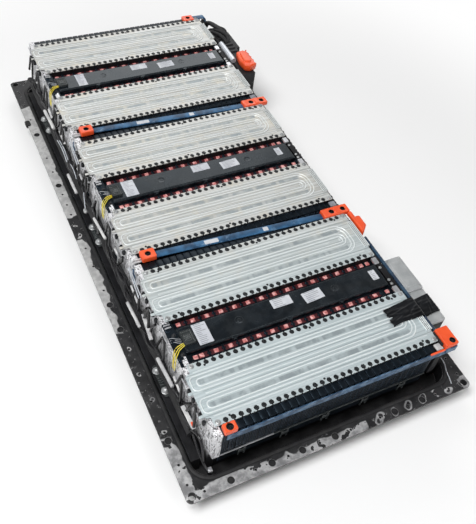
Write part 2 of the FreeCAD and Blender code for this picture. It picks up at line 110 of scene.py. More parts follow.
def shader_group(name, inputs, outputs):
    """Empty shader group with number inputs, the sockets that enter it and those that leave it."""
    group = bpy.data.node_groups.new(name, "ShaderNodeTree")
    for label, value in inputs.items():
        group.interface.new_socket(label, in_out="INPUT", socket_type=FLOAT).default_value = value
    for label, kind in outputs.items():
        group.interface.new_socket(label, in_out="OUTPUT", socket_type=kind)
    return group, group.nodes.new("NodeGroupInput").outputs, group.nodes.new("NodeGroupOutput").inputs


FLOAT = "NodeSocketFloat"
VECTOR = "NodeSocketVector"


def math_node(tree, operation, first, second=0.0, clamp=False):
    """Math node on one or two values or sockets."""
    return add_node(tree, "ShaderNodeMath", {0: first, 1: second}, operation=operation,
                    use_clamp=clamp).outputs[0]


def times(tree, first, second, clamp=False):
    """Product of two values or sockets."""
    return math_node(tree, "MULTIPLY", first, second, clamp)


def most(tree, first, second):
    """Larger of two values or sockets."""
    return math_node(tree, "MAXIMUM", first, second)


def vector_math(tree, operation, first, second=(0.0, 0.0, 0.0)):
    """Outputs of a vector math node: Vector and Value."""
    return add_node(tree, "ShaderNodeVectorMath", {0: first, 1: second}, operation=operation).outputs


def split_xyz(tree, vector):
    """Outputs X, Y and Z of a vector."""
    return add_node(tree, "ShaderNodeSeparateXYZ", {0: vector}).outputs


def noise_node(tree, vector, scale, detail=3.0, rough=0.55):
    """Noise over a vector, with its scale given or linked."""
    inputs = {"Vector": vector, "Scale": scale, "Detail": detail, "Roughness": rough}
    return add_node(tree, "ShaderNodeTexNoise", inputs).outputs["Fac"]


def ramp(tree, value, low, high):
    """Smooth step of a value from low to high."""
    inputs = {"Value": value, "From Min": low, "From Max": high}
    return add_node(tree, "ShaderNodeMapRange", inputs, interpolation_type="SMOOTHSTEP").outputs["Result"]


def mix_color(tree, mask, first, second):
    """Colour between two, by a mask."""
    pair = [(*value, 1.0) if isinstance(value, tuple) else value for value in (first, second)]
    return add_node(tree, "ShaderNodeMix", {"Factor": mask, 6: pair[0], 7: pair[1]},
                    data_type="RGBA").outputs[2]


def object_vector(tree):
    """Object coordinates of the piece."""
    return tree.nodes.new("ShaderNodeTexCoord").outputs["Object"]


def build_surface_grain():
    """Group: fine grain and rounded edges as a normal, with a value that varies over the surface."""
    group, entry, leave = shader_group("surface_grain", {"Scale": 400.0, "Depth": 0.1, "Rounding": 0.001},
                                       {"Variation": FLOAT, "Normal": VECTOR})
    vector = object_vector(group)
    fine = noise_node(group, vector, entry["Scale"], 3.0)
    bevel = add_node(group, "ShaderNodeBevel", {"Radius": entry["Rounding"]}, samples=4).outputs[0]
    inputs = {"Distance": 0.001, "Strength": entry["Depth"], "Height": fine, "Normal": bevel}
    group.links.new(add_node(group, "ShaderNodeBump", inputs).outputs[0], leave["Normal"])
    group.links.new(noise_node(group, vector, 18.0, 4.0), leave["Variation"])
    return group


def build_edge_wear():
    """Group: mask of edges, broken up by noise: worn edges on most finishes, painted edge glints on the black
    plastic.
    """
    group, entry, leave = shader_group("edge_wear", {"Radius": 0.002, "Amount": 0.5}, {"Mask": FLOAT})
    bevel = add_node(group, "ShaderNodeBevel", {"Radius": entry["Radius"]}, samples=4).outputs[0]
    normal = group.nodes.new("ShaderNodeNewGeometry").outputs["Normal"]
    bend = math_node(group, "SUBTRACT", 1.0, vector_math(group, "DOT_PRODUCT", bevel, normal)["Value"])
    worn = times(group, bend, times(group, noise_node(group, object_vector(group), 90.0, 5.0), 9.0))
    group.links.new(times(group, ramp(group, worn, 0.25, 0.9), entry["Amount"], True), leave["Mask"])
    return group


def build_settled_dust():
    """Group: mask of dust on faces that look up, in soft patches."""
    group, entry, leave = shader_group("settled_dust", {"Amount": 0.2, "Scale": 14.0}, {"Mask": FLOAT})
    normal = group.nodes.new("ShaderNodeNewGeometry").outputs["Normal"]
    patches = noise_node(group, object_vector(group), entry["Scale"], 6.0, 0.65)
    mask = times(group, ramp(group, split_xyz(group, normal)["Z"], 0.2, 0.9),
                 ramp(group, patches, 0.35, 0.75))
    group.links.new(times(group, mask, entry["Amount"], True), leave["Mask"])
    return group


GRAIN = build_surface_grain()
WEAR = build_edge_wear()
DUST = build_settled_dust()
MATERIALS = {}


def group_node(tree, group, **values):
    """Outputs of a shader group, with its inputs set."""
    return add_node(tree, "ShaderNodeGroup", values, node_tree=group).outputs


# Materials


def new_material(slot):
    """Tree and Principled node of a new material, kept under its slot."""
    material = bpy.data.materials.new(slot)
    material.use_nodes = True
    tree = material.node_tree
    tree.nodes.clear()
    shader = tree.nodes.new("ShaderNodeBsdfPrincipled")
    add_node(tree, "ShaderNodeOutputMaterial", {"Surface": shader.outputs["BSDF"]})
    MATERIALS[slot] = material
    return tree, shader


def surface(tree, shader, tone, base, spread, rough, metallic=0.0, gleam=0.5):
    """Join a tone, a roughness that varies, and the grain of a base to the shader."""
    varied = math_node(tree, "ADD", times(tree, base["Variation"], spread), rough, True)
    for label, socket in (("Base Color", tone), ("Roughness", varied), ("Normal", base["Normal"])):
        tree.links.new(socket, shader.inputs[label])
    shader.inputs["Metallic"].default_value = metallic
    shader.inputs["Specular IOR Level"].default_value = gleam


DUST_COLOR = (0.33, 0.32, 0.30)
COATED_ROUNDING = 0.0012
COATED_SPREAD = 0.18


def coated(slot, color, other, rough, grain=(500.0, 0.1), metallic=0.0, worn=None, dust=0.15, coat=0.0,
           gleam=0.5, tint=(1.0, 1.0, 1.0)):
    """Moulded, painted or cast finish: two tones, grain, rounded edges, an edge tone and dust; the edge tone is
    wear, except on the black plastic, where it is a painted glint.
    """
    tree, shader = new_material(slot)
    base = group_node(tree, GRAIN, Scale=grain[0], Depth=grain[1], Rounding=COATED_ROUNDING)
    tone = mix_color(tree, ramp(tree, base["Variation"], 0.35, 0.7), color, other)
    if worn:
        edge = group_node(tree, WEAR, Radius=COATED_ROUNDING * 1.6, Amount=worn[1])
        tone = mix_color(tree, edge["Mask"], tone, worn[0])
    if dust:
        tone = mix_color(tree, group_node(tree, DUST, Amount=dust)["Mask"], tone, DUST_COLOR)
    surface(tree, shader, tone, base, COATED_SPREAD, rough - COATED_SPREAD / 2, metallic, gleam)
    shader.inputs["Coat Weight"].default_value = coat
    shader.inputs["Specular Tint"].default_value = (*tint, 1.0)


def band(tree, value, low, high, soft):
    """Mask that is one between two values of a socket, with soft sides."""
    rise = ramp(tree, value, low - soft, low + soft)
    fall = ramp(tree, value, high + soft, high - soft)
    return times(tree, rise, fall)


def plate_material(slot):
    """Rolled aluminium with streaks along its length, painted shade in the slots, lanes and thin lines beside
    the pressed ridges, and a painted highlight on the ridge crests.
    """
    tree, shader = new_material(slot)
    base = group_node(tree, GRAIN, Scale=900.0, Depth=0.05, Rounding=0.0008)
    drawn_out = vector_math(tree, "MULTIPLY", object_vector(tree), (4.0, 220.0, 40.0))["Vector"]
    streaks = noise_node(tree, drawn_out, 1.0, 5.0, 0.6)
    split = split_xyz(tree, add_node(tree, "ShaderNodeUVMap", uv_map="plate").outputs["UV"])
    across = math_node(tree, "ABSOLUTE", math_node(tree, "SUBTRACT", split["Y"], 0.5))
    along = times(tree, ramp(tree, split["X"], -0.004, 0.004),
                      ramp(tree, split["X"], 0.724, 0.714))
    # Painted shade: the slots, thin lines beside the ridges and the lane floors are darkened, the slots less at
    # a stop every 100 mm and in patches.
    slot_shade = times(tree, band(tree, across, 0.0325, 0.0485, 0.0010), along)
    stops = math_node(tree, "SINE", times(tree, split["X"], 2 * math.pi / 0.1))
    slot_shade_breaks = math_node(tree, "SUBTRACT", 1.0, times(tree, ramp(tree, stops, 0.82, 1.0), 0.6))
    patches = ramp(tree, noise_node(tree, object_vector(tree), 24.0, 4.0, 0.6), 0.36, 0.62)
    patches = math_node(tree, "ADD", times(tree, patches, 0.50), 0.36)
    slot_shade = times(tree, slot_shade, times(tree, slot_shade_breaks, patches))
    shadow_lines = most(tree, band(tree, across, 0.0690, 0.0725, 0.0008),
                       times(tree, band(tree, across, 0.0075, 0.0100, 0.0008), along))
    lanes = most(tree, band(tree, across, 0.0555, 0.0600, 0.0010),
                      times(tree, band(tree, across, 0.0175, 0.0235, 0.0010), along))
    # The darker tone gathered here is all painted shade.
    dull = most(tree, slot_shade, times(tree, shadow_lines, 0.60))
    dull = most(tree, dull, times(tree, lanes, 0.22))
    place = split_xyz(tree, object_vector(tree))
    rearward = ramp(tree, place["Y"], -0.75, -0.10)
    cool = mix_color(tree, ramp(tree, streaks, 0.3, 0.7), (0.43, 0.50, 0.52), (0.57, 0.635, 0.65))
    warm = mix_color(tree, ramp(tree, streaks, 0.35, 0.65), (0.40, 0.395, 0.37), (0.61, 0.62, 0.61))
    clean = mix_color(tree, rearward, cool, warm)
    stain = times(tree, ramp(tree, base["Variation"], 0.48, 0.75), rearward)
    stained = mix_color(tree, stain, clean, (0.56, 0.53, 0.46))
    flat_tone = mix_color(tree, dull, stained, (0.24, 0.28, 0.295))
    # Painted highlight: the pressed ridges are lighter near their crests.
    crest_highlight = ramp(tree, place["Z"], (PLATE_TOP + 1.2) * MM, (PLATE_TOP + 2.4) * MM)
    tone = mix_color(tree, times(tree, crest_highlight, 0.8), flat_tone, (0.76, 0.80, 0.80))
    surface(tree, shader, tone, {"Variation": streaks, "Normal": base["Normal"]}, 0.16, 0.36, 0.35)


def tab_material(slot):
    """Copper with painted highlight spots, and painted dark red shade low down between the tabs."""
    tree, shader = new_material(slot)
    base = group_node(tree, GRAIN, Scale=600.0, Depth=0.15, Rounding=0.0012)
    edge = group_node(tree, WEAR, Radius=0.0018, Amount=0.7)
    split = split_xyz(tree, object_vector(tree))
    # Painted shade: the copper turns dark red below a height, low down between the tabs.
    high = ramp(tree, split["Z"], (FRAME_TOP + 0.9) * MM, (FRAME_TOP + 1.8) * MM)
    # Painted highlight: lighter spots on the copper.
    highlight_spots = ramp(tree, noise_node(tree, object_vector(tree), 110.0, 2.0), 0.40, 0.62)
    bright = mix_color(tree, highlight_spots, (0.56, 0.15, 0.145), (0.90, 0.47, 0.45))
    bright = mix_color(tree, edge["Mask"], bright, (1.0, 0.76, 0.70))
    surface(tree, shader, mix_color(tree, high, (0.075, 0.012, 0.016), bright), base, 0.2, 0.28, 0.15)


def cast_material(slot):
    """Bright cast metal with thin dark upright lines and dark pits, and painted shade that turns its foot near
    black.
    """
    tree, shader = new_material(slot)
    base = group_node(tree, GRAIN, Scale=220.0, Depth=0.7, Rounding=0.0015)
    vector = object_vector(tree)
    stretched = vector_math(tree, "MULTIPLY", vector, (285.0, 300.0, 20.0))["Vector"]
    streaks = ramp(tree, noise_node(tree, stretched, 1.0, 2.0, 0.5), 0.36, 0.48)
    pits = ramp(tree, noise_node(tree, vector, 95.0, 4.0, 0.6), 0.58, 0.62)
    tone = mix_color(tree, streaks, (0.070, 0.070, 0.078), (0.80, 0.80, 0.82))
    tone = mix_color(tree, pits, tone, (0.11, 0.11, 0.115))
    split = split_xyz(tree, vector)
    # Painted shade: below a height the casting is near black.
    high = ramp(tree, split["Z"], (COMB_TOP - 195) * MM, (COMB_TOP - 135) * MM)
    surface(tree, shader, mix_color(tree, high, (0.018, 0.018, 0.02), tone), base, 0.3, 0.26, 0.25)


def sleeve_material(slot):
    """Blue shrink sleeve with darker stretches and pale scuffs, and pale rubs along the front bar."""
    tree, shader = new_material(slot)
    base = group_node(tree, GRAIN, Scale=240.0, Depth=0.25, Rounding=0.0010)
    vector = object_vector(tree)
    tone = mix_color(tree, ramp(tree, base["Variation"], 0.36, 0.64), (0.008, 0.042, 0.096),
                     (0.034, 0.128, 0.262))
    scuffs = ramp(tree, noise_node(tree, vector, 34.0, 5.0, 0.7), 0.57, 0.68)
    split = split_xyz(tree, vector)
    forward = ramp(tree, split["Y"], -0.90, -0.98)
    tone = mix_color(tree, times(tree, forward, 0.6), tone, (0.010, 0.036, 0.080))
    rubs = times(tree, ramp(tree, noise_node(tree, vector, 48.0, 4.0, 0.6), 0.46, 0.60), forward)
    pale = most(tree, times(tree, scuffs, 0.45), times(tree, rubs, 0.36))
    tone = mix_color(tree, pale, tone, (0.25, 0.39, 0.56))
    surface(tree, shader, tone, base, 0.2, 0.32, 0.0, 0.4)


# Stretches of the flange that are bare: low and high corner in millimetres, on the pack's own frame
BARE_STRETCHES = (
    ((-570, -1100), (-250, -1038)),
    ((-300, -1100), (112, -1050)),
    ((-570, -1100), (-492, -850)),
    ((-570, -430), (-503, 40)),
    ((-570, 155), (-490, 870)),
    ((508, -1100), (570, -1034)),
    ((448, -700), (570, -420)),
    ((448, 250), (570, 700)),
)


# Bare metal round single holes: x, y and the radii between which it shows
BARE_RINGS = tuple((x, -1057, inner, 14.0) for x, inner in ((167, 8.5), (226, 11.5), (282, 8.0), (341, 12.0),
                                                            (396, 8.5), (455, 6.0), (512, 12.5)))
BARE_RINGS += tuple((-512, y, 4.5, 8.5) for y in (-831, -717, -605, -502, 55, 110))
SEAL_OUTSIDE = 41.0


def beyond(tree, place, low, high):
    """Mask of the flange outside the seal, along one axis of the tray."""
    before = ramp(tree, place, (low + SEAL_OUTSIDE + 2) * MM, (low + SEAL_OUTSIDE - 2) * MM)
    after = ramp(tree, place, (high - SEAL_OUTSIDE - 2) * MM, (high - SEAL_OUTSIDE + 2) * MM)
    return most(tree, before, after)


def tray_material(slot):
    """Black paint over the pan, worn through to grey metal along stretches of the flange."""
    tree, shader = new_material(slot)
    base = group_node(tree, GRAIN, Scale=350.0, Depth=0.18, Rounding=0.0015)
    film = group_node(tree, DUST, Amount=0.28, Scale=9.0)
    edge = group_node(tree, WEAR, Radius=0.003, Amount=0.8)
    vector = object_vector(tree)
    split = split_xyz(tree, vector)
    wander = math_node(tree, "SUBTRACT", noise_node(tree, vector, 17.0, 1.5, 0.5), 0.5)
    shift = times(tree, wander, 0.06)
    x = math_node(tree, "ADD", split["X"], shift)
    y = math_node(tree, "ADD", split["Y"], shift)
    soft = 0.002
    bare = times(tree, ramp(tree, noise_node(tree, vector, 60.0, 6.0, 0.75), 0.60, 0.64), 0.45)
    for low, high in BARE_STRETCHES:
        inside = times(tree, band(tree, x, low[0] * MM, high[0] * MM, soft),
                       band(tree, y, low[1] * MM, high[1] * MM, soft))
        bare = most(tree, bare, inside)
    top_side = ramp(tree, split["Z"], (FLANGE_TOP - 1.5) * MM, (FLANGE_TOP - 0.5) * MM)
    level = add_node(tree, "ShaderNodeCombineXYZ", {"X": x, "Y": y}).outputs[0]
    for hole_x, hole_y, inner, outer in BARE_RINGS:
        away = vector_math(tree, "DISTANCE", level, (hole_x * MM, hole_y * MM, 0.0))["Value"]
        ring = ramp(tree, away, (outer + 1.5) * MM, (outer - 1.5) * MM)
        begin = ramp(tree, away, (inner - 1.0) * MM, (inner + 1.0) * MM)
        bare = most(tree, bare, times(tree, ring, begin))
    islands = ramp(tree, noise_node(tree, vector, 26.0, 3.0, 0.5), 0.60, 0.62)
    rearward = ramp(tree, split["Y"], -0.80, -0.10)
    kept = math_node(tree, "SUBTRACT", 1.0, times(tree, rearward, 0.75))
    islands = times(tree, islands, kept)
    bare = times(tree, bare, math_node(tree, "SUBTRACT", 1.0, islands))
    outside = math_node(tree, "MAXIMUM",
                        beyond(tree, split["X"], TRAY_LOW.x, TRAY_HIGH.x),
                        beyond(tree, split["Y"], TRAY_LOW.y, TRAY_HIGH.y))
    bare = times(tree, bare, times(tree, outside, top_side))
    bare = most(tree, bare, edge["Mask"])
    paint = mix_color(tree, ramp(tree, base["Variation"], 0.3, 0.7), (0.009, 0.009, 0.010),
                      (0.024, 0.024, 0.026))
    paint = mix_color(tree, film["Mask"], paint, (0.075, 0.073, 0.073))
    blotch = ramp(tree, noise_node(tree, vector, 26.0, 6.0, 0.6), 0.36, 0.62)
    near_metal = mix_color(tree, blotch, (0.20, 0.20, 0.205), (0.50, 0.50, 0.505))
    far_metal = mix_color(tree, blotch, (0.40, 0.40, 0.40), (0.58, 0.58, 0.575))
    metal = mix_color(tree, rearward, near_metal, far_metal)
    surface(tree, shader, mix_color(tree, bare, paint, metal), base, 0.25, 0.38, 0.0, 0.3)
    tree.links.new(times(tree, bare, 0.35), shader.inputs["Metallic"])


def build_materials():
    """Every finish, under its slot."""
    tray_material("tray_paint")
    plate_material("plate_aluminium")
    tab_material("tab_copper")
    sleeve_material("bar_sleeve")
    coated("black_rubber", (0.010, 0.010, 0.011), (0.020, 0.020, 0.022), 0.62,
           dust=0.06, gleam=0.25)
    coated("rail_steel", (0.006, 0.006, 0.007), (0.014, 0.014, 0.016), 0.5,
           worn=((0.12, 0.12, 0.12), 0.4), dust=0.0, gleam=0.16)
    coated("harness_tape", (0.008, 0.008, 0.009), (0.022, 0.022, 0.024), 0.62,
           grain=(700.0, 0.5), dust=0.06, gleam=0.25)
    # Painted glints: the bluish light edge tone of the black plastic.
    coated("black_plastic", (0.0025, 0.0038, 0.0055), (0.007, 0.0095, 0.013), 0.36,
           grain=(900.0, 0.12), worn=((0.11, 0.16, 0.23), 0.8), dust=0.0, gleam=0.2,
           tint=(0.55, 0.78, 1.0))
    coated("plug_plastic", (0.014, 0.018, 0.019), (0.026, 0.031, 0.032), 0.45,
           worn=((0.30, 0.32, 0.32), 0.8), dust=0.06, gleam=0.3)
    coated("strip_steel", (0.46, 0.47, 0.49), (0.62, 0.62, 0.64), 0.34, metallic=0.75, dust=0.0)
    coated("lead_yellow", (0.74, 0.58, 0.035), (0.82, 0.72, 0.10), 0.4, dust=0.0)
    coated("orange_plastic", (0.80, 0.080, 0.016), (0.88, 0.115, 0.030), 0.4,
           grain=(700.0, 0.1), worn=((0.95, 0.30, 0.15), 0.6), dust=0.0, coat=0.15)
    coated("pipe_navy", (0.008, 0.024, 0.052), (0.020, 0.058, 0.105), 0.26, dust=0.0, gleam=0.7)
    coated("box_paint", (0.29, 0.305, 0.31), (0.38, 0.39, 0.395), 0.42,
           grain=(260.0, 0.2), worn=((0.70, 0.70, 0.70), 0.6), dust=0.05)
    coated("contactor_plastic", (0.008, 0.008, 0.009), (0.020, 0.020, 0.022), 0.5,
           worn=((0.09, 0.09, 0.10), 0.6), dust=0.05, gleam=0.25)
    coated("hose_foil", (0.55, 0.58, 0.62), (0.72, 0.75, 0.80), 0.35,
           grain=(120.0, 0.8), metallic=0.5, dust=0.0)
    coated("cable_orange", (0.7, 0.10, 0.02), (0.78, 0.14, 0.04), 0.45, dust=0.04)
    coated("cell_wrap", (0.004, 0.004, 0.005), (0.010, 0.010, 0.012), 0.55, dust=0.02, gleam=0.2)
    cast_material("cast_aluminium")
    coated("stud_black", (0.006, 0.007, 0.008), (0.014, 0.016, 0.018), 0.34,
           worn=((0.10, 0.11, 0.12), 0.5), metallic=0.2, dust=0.0, gleam=0.3)
    coated("screw_zinc", (0.30, 0.31, 0.315), (0.48, 0.49, 0.49), 0.38, metallic=0.6, dust=0.0)
    coated("label_paper", (0.50, 0.52, 0.56), (0.60, 0.62, 0.65), 0.5, dust=0.0, gleam=0.3)
    coated("label_print", (0.20, 0.21, 0.24), (0.28, 0.29, 0.32), 0.5, dust=0.0)
    coated("white_sleeve", (0.42, 0.42, 0.43), (0.70, 0.70, 0.69), 0.45, dust=0.05)
    coated("wire_black", (0.004, 0.004, 0.005), (0.012, 0.012, 0.014), 0.22, dust=0.0, gleam=0.5)
    coated("tape_black", (0.0025, 0.003, 0.004), (0.008, 0.009, 0.011), 0.36,
           grain=(180.0, 0.3), dust=0.0, gleam=0.2)
    coated("cover_plastic", (0.003, 0.0048, 0.0072), (0.009, 0.0125, 0.0165), 0.25,
           grain=(800.0, 0.12), worn=((0.08, 0.09, 0.095), 0.5), dust=0.03, gleam=0.36,
           tint=(0.80, 0.92, 1.0))


build_materials()


def dress(item, slot):
    """Give an object the one finish of its slot."""
    item.data.materials.clear()
    item.data.materials.append(MATERIALS[slot])


# Mesh helpers


def add_object(name, data):
    """New object in the scene."""
    item = bpy.data.objects.new(name, data)
    bpy.context.scene.collection.objects.link(item)
    return item


def settled_mesh(item):
    """Plain mesh of an object with its modifiers, in place of the object."""
    graph = bpy.context.evaluated_depsgraph_get()
    mesh = bpy.data.meshes.new_from_object(item.evaluated_get(graph), depsgraph=graph)
    item.modifiers.clear()
    bpy.data.objects.remove(item)
    return mesh


def mesh_of(name, bm):
    """Mesh in metres of a bmesh in millimetres."""
    bmesh.ops.recalc_face_normals(bm, faces=bm.faces)
    bmesh.ops.scale(bm, vec=(MM, MM, MM), verts=bm.verts)
    mesh = bpy.data.meshes.new(name)
    bm.to_mesh(mesh)
    bm.free()
    return mesh


def finish_mesh(name, mesh, slot, replaced=(), sharp=35.0):
    """Turn a mesh in metres into a piece that rides on the pack."""
    item = add_object(name, mesh)
    dress(item, slot)
    for polygon in mesh.polygons:
        polygon.use_smooth = True
    mesh.set_sharp_from_angle(angle=math.radians(sharp))
    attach(item, "root")
    if replaced:
        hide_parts(*replaced)
    return item


def finish(name, bm, slot, replaced=(), sharp=35.0):
    """Turn a bmesh in millimetres into a piece."""
    return finish_mesh(name, mesh_of(name, bm), slot, replaced, sharp)


def rounded(corners, steps=5):
    """Outline through corners (x, y, radius), with an arc at each corner that has a radius."""
    outline = []
    count = len(corners)
    for index, (x, y, radius) in enumerate(corners):
        corner = Vector((x, y))
        if radius <= 0:
            outline.append(corner)
            continue
        back = (Vector(corners[index - 1][:2]) - corner).normalized()
        ahead = (Vector(corners[(index + 1) % count][:2]) - corner).normalized()
        half = back.angle(ahead) / 2
        centre = corner + (back + ahead).normalized() * (radius / math.sin(half))
        start = corner + back * (radius / math.tan(half)) - centre
        turn = start.angle_signed(corner + ahead * (radius / math.tan(half)) - centre)
        for step in range(steps + 1):
            angle = -turn * step / steps
            spun = Matrix.Rotation(angle, 2) @ start
            outline.append(centre + spun)
    return outline


def rectangle(x0, x1, y0, y1, radius=0.0, steps=5):
    """Rectangle with rounded corners, anticlockwise."""
    return rounded([(x0, y0, radius), (x1, y0, radius), (x1, y1, radius), (x0, y1, radius)], steps)


def circle(x, y, radius, steps=16, start=0.0):
    """Outline of a circle, anticlockwise."""
    return [Vector((x + radius * math.cos(start + 2 * math.pi * step / steps),
                    y + radius * math.sin(start + 2 * math.pi * step / steps))) for step in range(steps)]


def left_of(step):
    """Level unit vector to the left of a step."""
    return Vector((-step.y, step.x)).normalized()


def offset(outline, distance):
    """Anticlockwise outline moved inwards by a short distance."""
    moved = []
    for index, point in enumerate(outline):
        before = point - outline[index - 1]
        after = outline[(index + 1) % len(outline)] - point
        if before.length < 1e-6 or after.length < 1e-6:
            moved.append(point.copy())
            continue
        normal = left_of(before)
        middle = normal + left_of(after)
        if middle.length < 1e-3:
            moved.append(point + normal * distance)
            continue
        middle.normalize()
        moved.append(point + middle * min(distance / max(middle.dot(normal), 0.35), distance * 2.5))
    return moved


def flat_z(x, y, z):
    """Plan drawing: the outline lies level."""
    return Vector((x, y, z))


def on_front_out(x, y, z):
    """Front drawing: the outline lies in the X-Z plane and is run towards the viewer."""
    return Vector((x, -z, y))


def on_side(x, y, z):
    """Side drawing: the outline lies in the Y-Z plane and is run along X."""
    return Vector((z, x, y))


def loft(bm, rings, closed_ends=True, around=False):
    """Skin between rings of as many points each, from the last back to the first if around is set."""
    rows = [[bm.verts.new(point) for point in ring] for ring in rings]
    if around:
        rows.append(rows[0])
    count = len(rows[0])
    for low, high in zip(rows, rows[1:]):
        for index in range(count):
            after = (index + 1) % count
            bm.faces.new((low[index], low[after], high[after], high[index]))
    if closed_ends:
        bm.faces.new(list(reversed(rows[0])))
        bm.faces.new(rows[-1])
    return rows


def slab(bm, outline, low, high, edge=0.8, place=flat_z, both=False, shelf=0.3):
    """Raised outline, or the numbers of a rectangle, with a rounded upper edge and a flat shelf inside it.

    The lower edge is rounded too if both is set.
    """
    if isinstance(outline, tuple):
        outline = rectangle(*outline)
    inner = offset(outline, edge * 0.35)
    inmost = offset(outline, edge)
    levels = [(outline, low)]
    if both:
        levels = [(inmost, low), (inner, low + edge * 0.35), (outline, low + edge)]
    if edge > 0:
        levels += [(outline, high - edge), (inner, high - edge * 0.35), (inmost, high)]
        if shelf:
            levels.append((offset(outline, edge + min(edge * 0.4, shelf)), high))
    else:
        levels += [(outline, high)]
    loft(bm, [[place(point.x, point.y, z) for point in ring] for ring, z in levels])


def block_box(bm, low, high, edge=1.0):
    """Box with rounded upright and upper edges."""
    radius = min(edge, (high[0] - low[0]) / 3, (high[1] - low[1]) / 3)
    slab(bm, (low[0], high[0], low[1], high[1], radius, 2), low[2], high[2],
         min(edge, (high[2] - low[2]) / 2.5))


def lathe(bm, profile, centre, sides=16, axis="Z"):
    """Turned shape: profile of (radius, height) about an axis through centre."""
    rings = []
    for radius, height in profile:
        ring = []
        for step in range(sides):
            angle = 2 * math.pi * step / sides
            across = radius * math.cos(angle)
            aside = radius * math.sin(angle)
            spun = {"X": (height, across, aside), "Y": (aside, height, across), "Z": (across, aside, height)}
            ring.append(Vector(centre) + Vector(spun[axis]))
        rings.append(ring)
    loft(bm, rings)


def ridge(bm, path, section, z, closed=False):
    """Sweep a closed section of (offset, height) along a plan path at height z."""
    rings = []
    for index, point in enumerate(path):
        first = point - (path[index - 1] if closed or index else point)
        second = (path[(index + 1) % len(path)] if closed or index < len(path) - 1 else point) - point
        if first.length < 1e-6:
            first = second
        if second.length < 1e-6:
            second = first
        normal = (left_of(first) + left_of(second)).normalized()
        stretch = 1 / max(normal.dot(left_of(first)), 0.4)
        rings.append([Vector((point.x + normal.x * side * stretch, point.y + normal.y * side * stretch,
                              z + rise)) for side, rise in section])
    loft(bm, rings, not closed, closed)


# Geometry Nodes


def growth_tree(name, inputs):
    """Empty geometry tree with named inputs, and the sockets that enter it."""
    tree = bpy.data.node_groups.new(name, "GeometryNodeTree")
    for label, kind in (("Geometry", "NodeSocketGeometry"), *inputs, ("Finish", "NodeSocketMaterial")):
        tree.interface.new_socket(label, in_out="INPUT", socket_type=kind)
    tree.interface.new_socket("Geometry", in_out="OUTPUT", socket_type="NodeSocketGeometry")
    return tree, tree.nodes.new("NodeGroupInput").outputs


def random_value(tree, seed, low, high):
    """Random number for each point."""
    return add_node(tree, "FunctionNodeRandomValue", {"Seed": seed, 2: low, 3: high},
                    data_type="FLOAT").outputs[1]


def build_repeat_piece():
    """Tree: one copy of a drawn piece on each point, turned and sized a little at random."""
    tree, entry = growth_tree("repeat_piece", (("Drawn Piece", "NodeSocketObject"), ("Random Turn", FLOAT),
                                               ("Size Spread", FLOAT), ("Seed", "NodeSocketInt")))
    points = add_node(tree, "GeometryNodeMeshToPoints", {"Mesh": entry["Geometry"]})
    drawn = add_node(tree, "GeometryNodeObjectInfo", {"Object": entry["Drawn Piece"]})
    back = times(tree, entry["Random Turn"], -1.0)
    turn = add_node(tree, "ShaderNodeCombineXYZ", {
        "Z": random_value(tree, entry["Seed"], back, entry["Random Turn"])})
    least = math_node(tree, "SUBTRACT", 1.0, entry["Size Spread"])
    copies = add_node(tree, "GeometryNodeInstanceOnPoints", {
        "Points": points.outputs["Points"], "Instance": drawn.outputs["Geometry"],
        "Rotation": turn.outputs[0], "Scale": random_value(tree, entry["Seed"], least, 1.0)})
    return realized(tree, copies.outputs["Instances"], entry)


def build_tube_on_path():
    """Tree: a round tube along the host's edges."""
    tree, entry = growth_tree("tube_on_path", (("Radius", FLOAT), ("Sides", "NodeSocketInt")))
    path = add_node(tree, "GeometryNodeMeshToCurve", {"Mesh": entry["Geometry"]})
    ring = add_node(tree, "GeometryNodeCurvePrimitiveCircle", {
        "Radius": entry["Radius"], "Resolution": entry["Sides"]})
    skin = add_node(tree, "GeometryNodeCurveToMesh", {
        "Fill Caps": True, "Curve": path.outputs["Curve"], "Profile Curve": ring.outputs["Curve"]})
    return realized(tree, skin.outputs["Mesh"], entry)


def realized(tree, geometry, entry):
    """End of every tree: realize the instances and set the finish."""
    real = add_node(tree, "GeometryNodeRealizeInstances", {"Geometry": geometry}).outputs[0]
    paint = add_node(tree, "GeometryNodeSetMaterial", {"Geometry": real, "Material": entry["Finish"]})
    add_node(tree, "NodeGroupOutput", {"Geometry": paint.outputs[0]})
    return tree


REPEAT = build_repeat_piece()
TUBE = build_tube_on_path()


def grow(name, host_mesh, tree, values, slot, replaced=(), sharp=35.0):
    """Run a geometry tree on a host mesh and keep its result as a plain piece."""
    host = add_object(name + "_host", host_mesh)
    modifier = host.modifiers.new("growth", "NODES")
    modifier.node_group = tree
    for socket in tree.interface.items_tree:
        if socket.in_out == "INPUT" and socket.name in values:
            modifier[socket.identifier] = values[socket.name]
    mesh = settled_mesh(host)
    mesh.name = name
    tidy = bmesh.new()
    tidy.from_mesh(mesh)
    bmesh.ops.remove_doubles(tidy, verts=tidy.verts, dist=1e-6)
    bmesh.ops.recalc_face_normals(tidy, faces=tidy.faces)
    tidy.to_mesh(mesh)
    tidy.free()
    return finish_mesh(name, mesh, slot, replaced, sharp)


def repeat(name, drawn, places, slot, turn=0.0, spread=0.0, seed=1, replaced=(), sharp=35.0):
    """One copy of a drawn bmesh (in millimetres, about its own origin) on each place."""
    pattern = add_object(name + "_drawn", mesh_of(name + "_drawn", drawn))
    host = bpy.data.meshes.new(name)
    host.from_pydata([Vector(place) * MM for place in places], [], [])
    values = {"Drawn Piece": pattern, "Random Turn": turn, "Size Spread": spread, "Seed": seed,
              "Finish": MATERIALS[slot]}
    item = grow(name, host, REPEAT, values, slot, replaced, sharp)
    bpy.data.objects.remove(pattern)
    return item


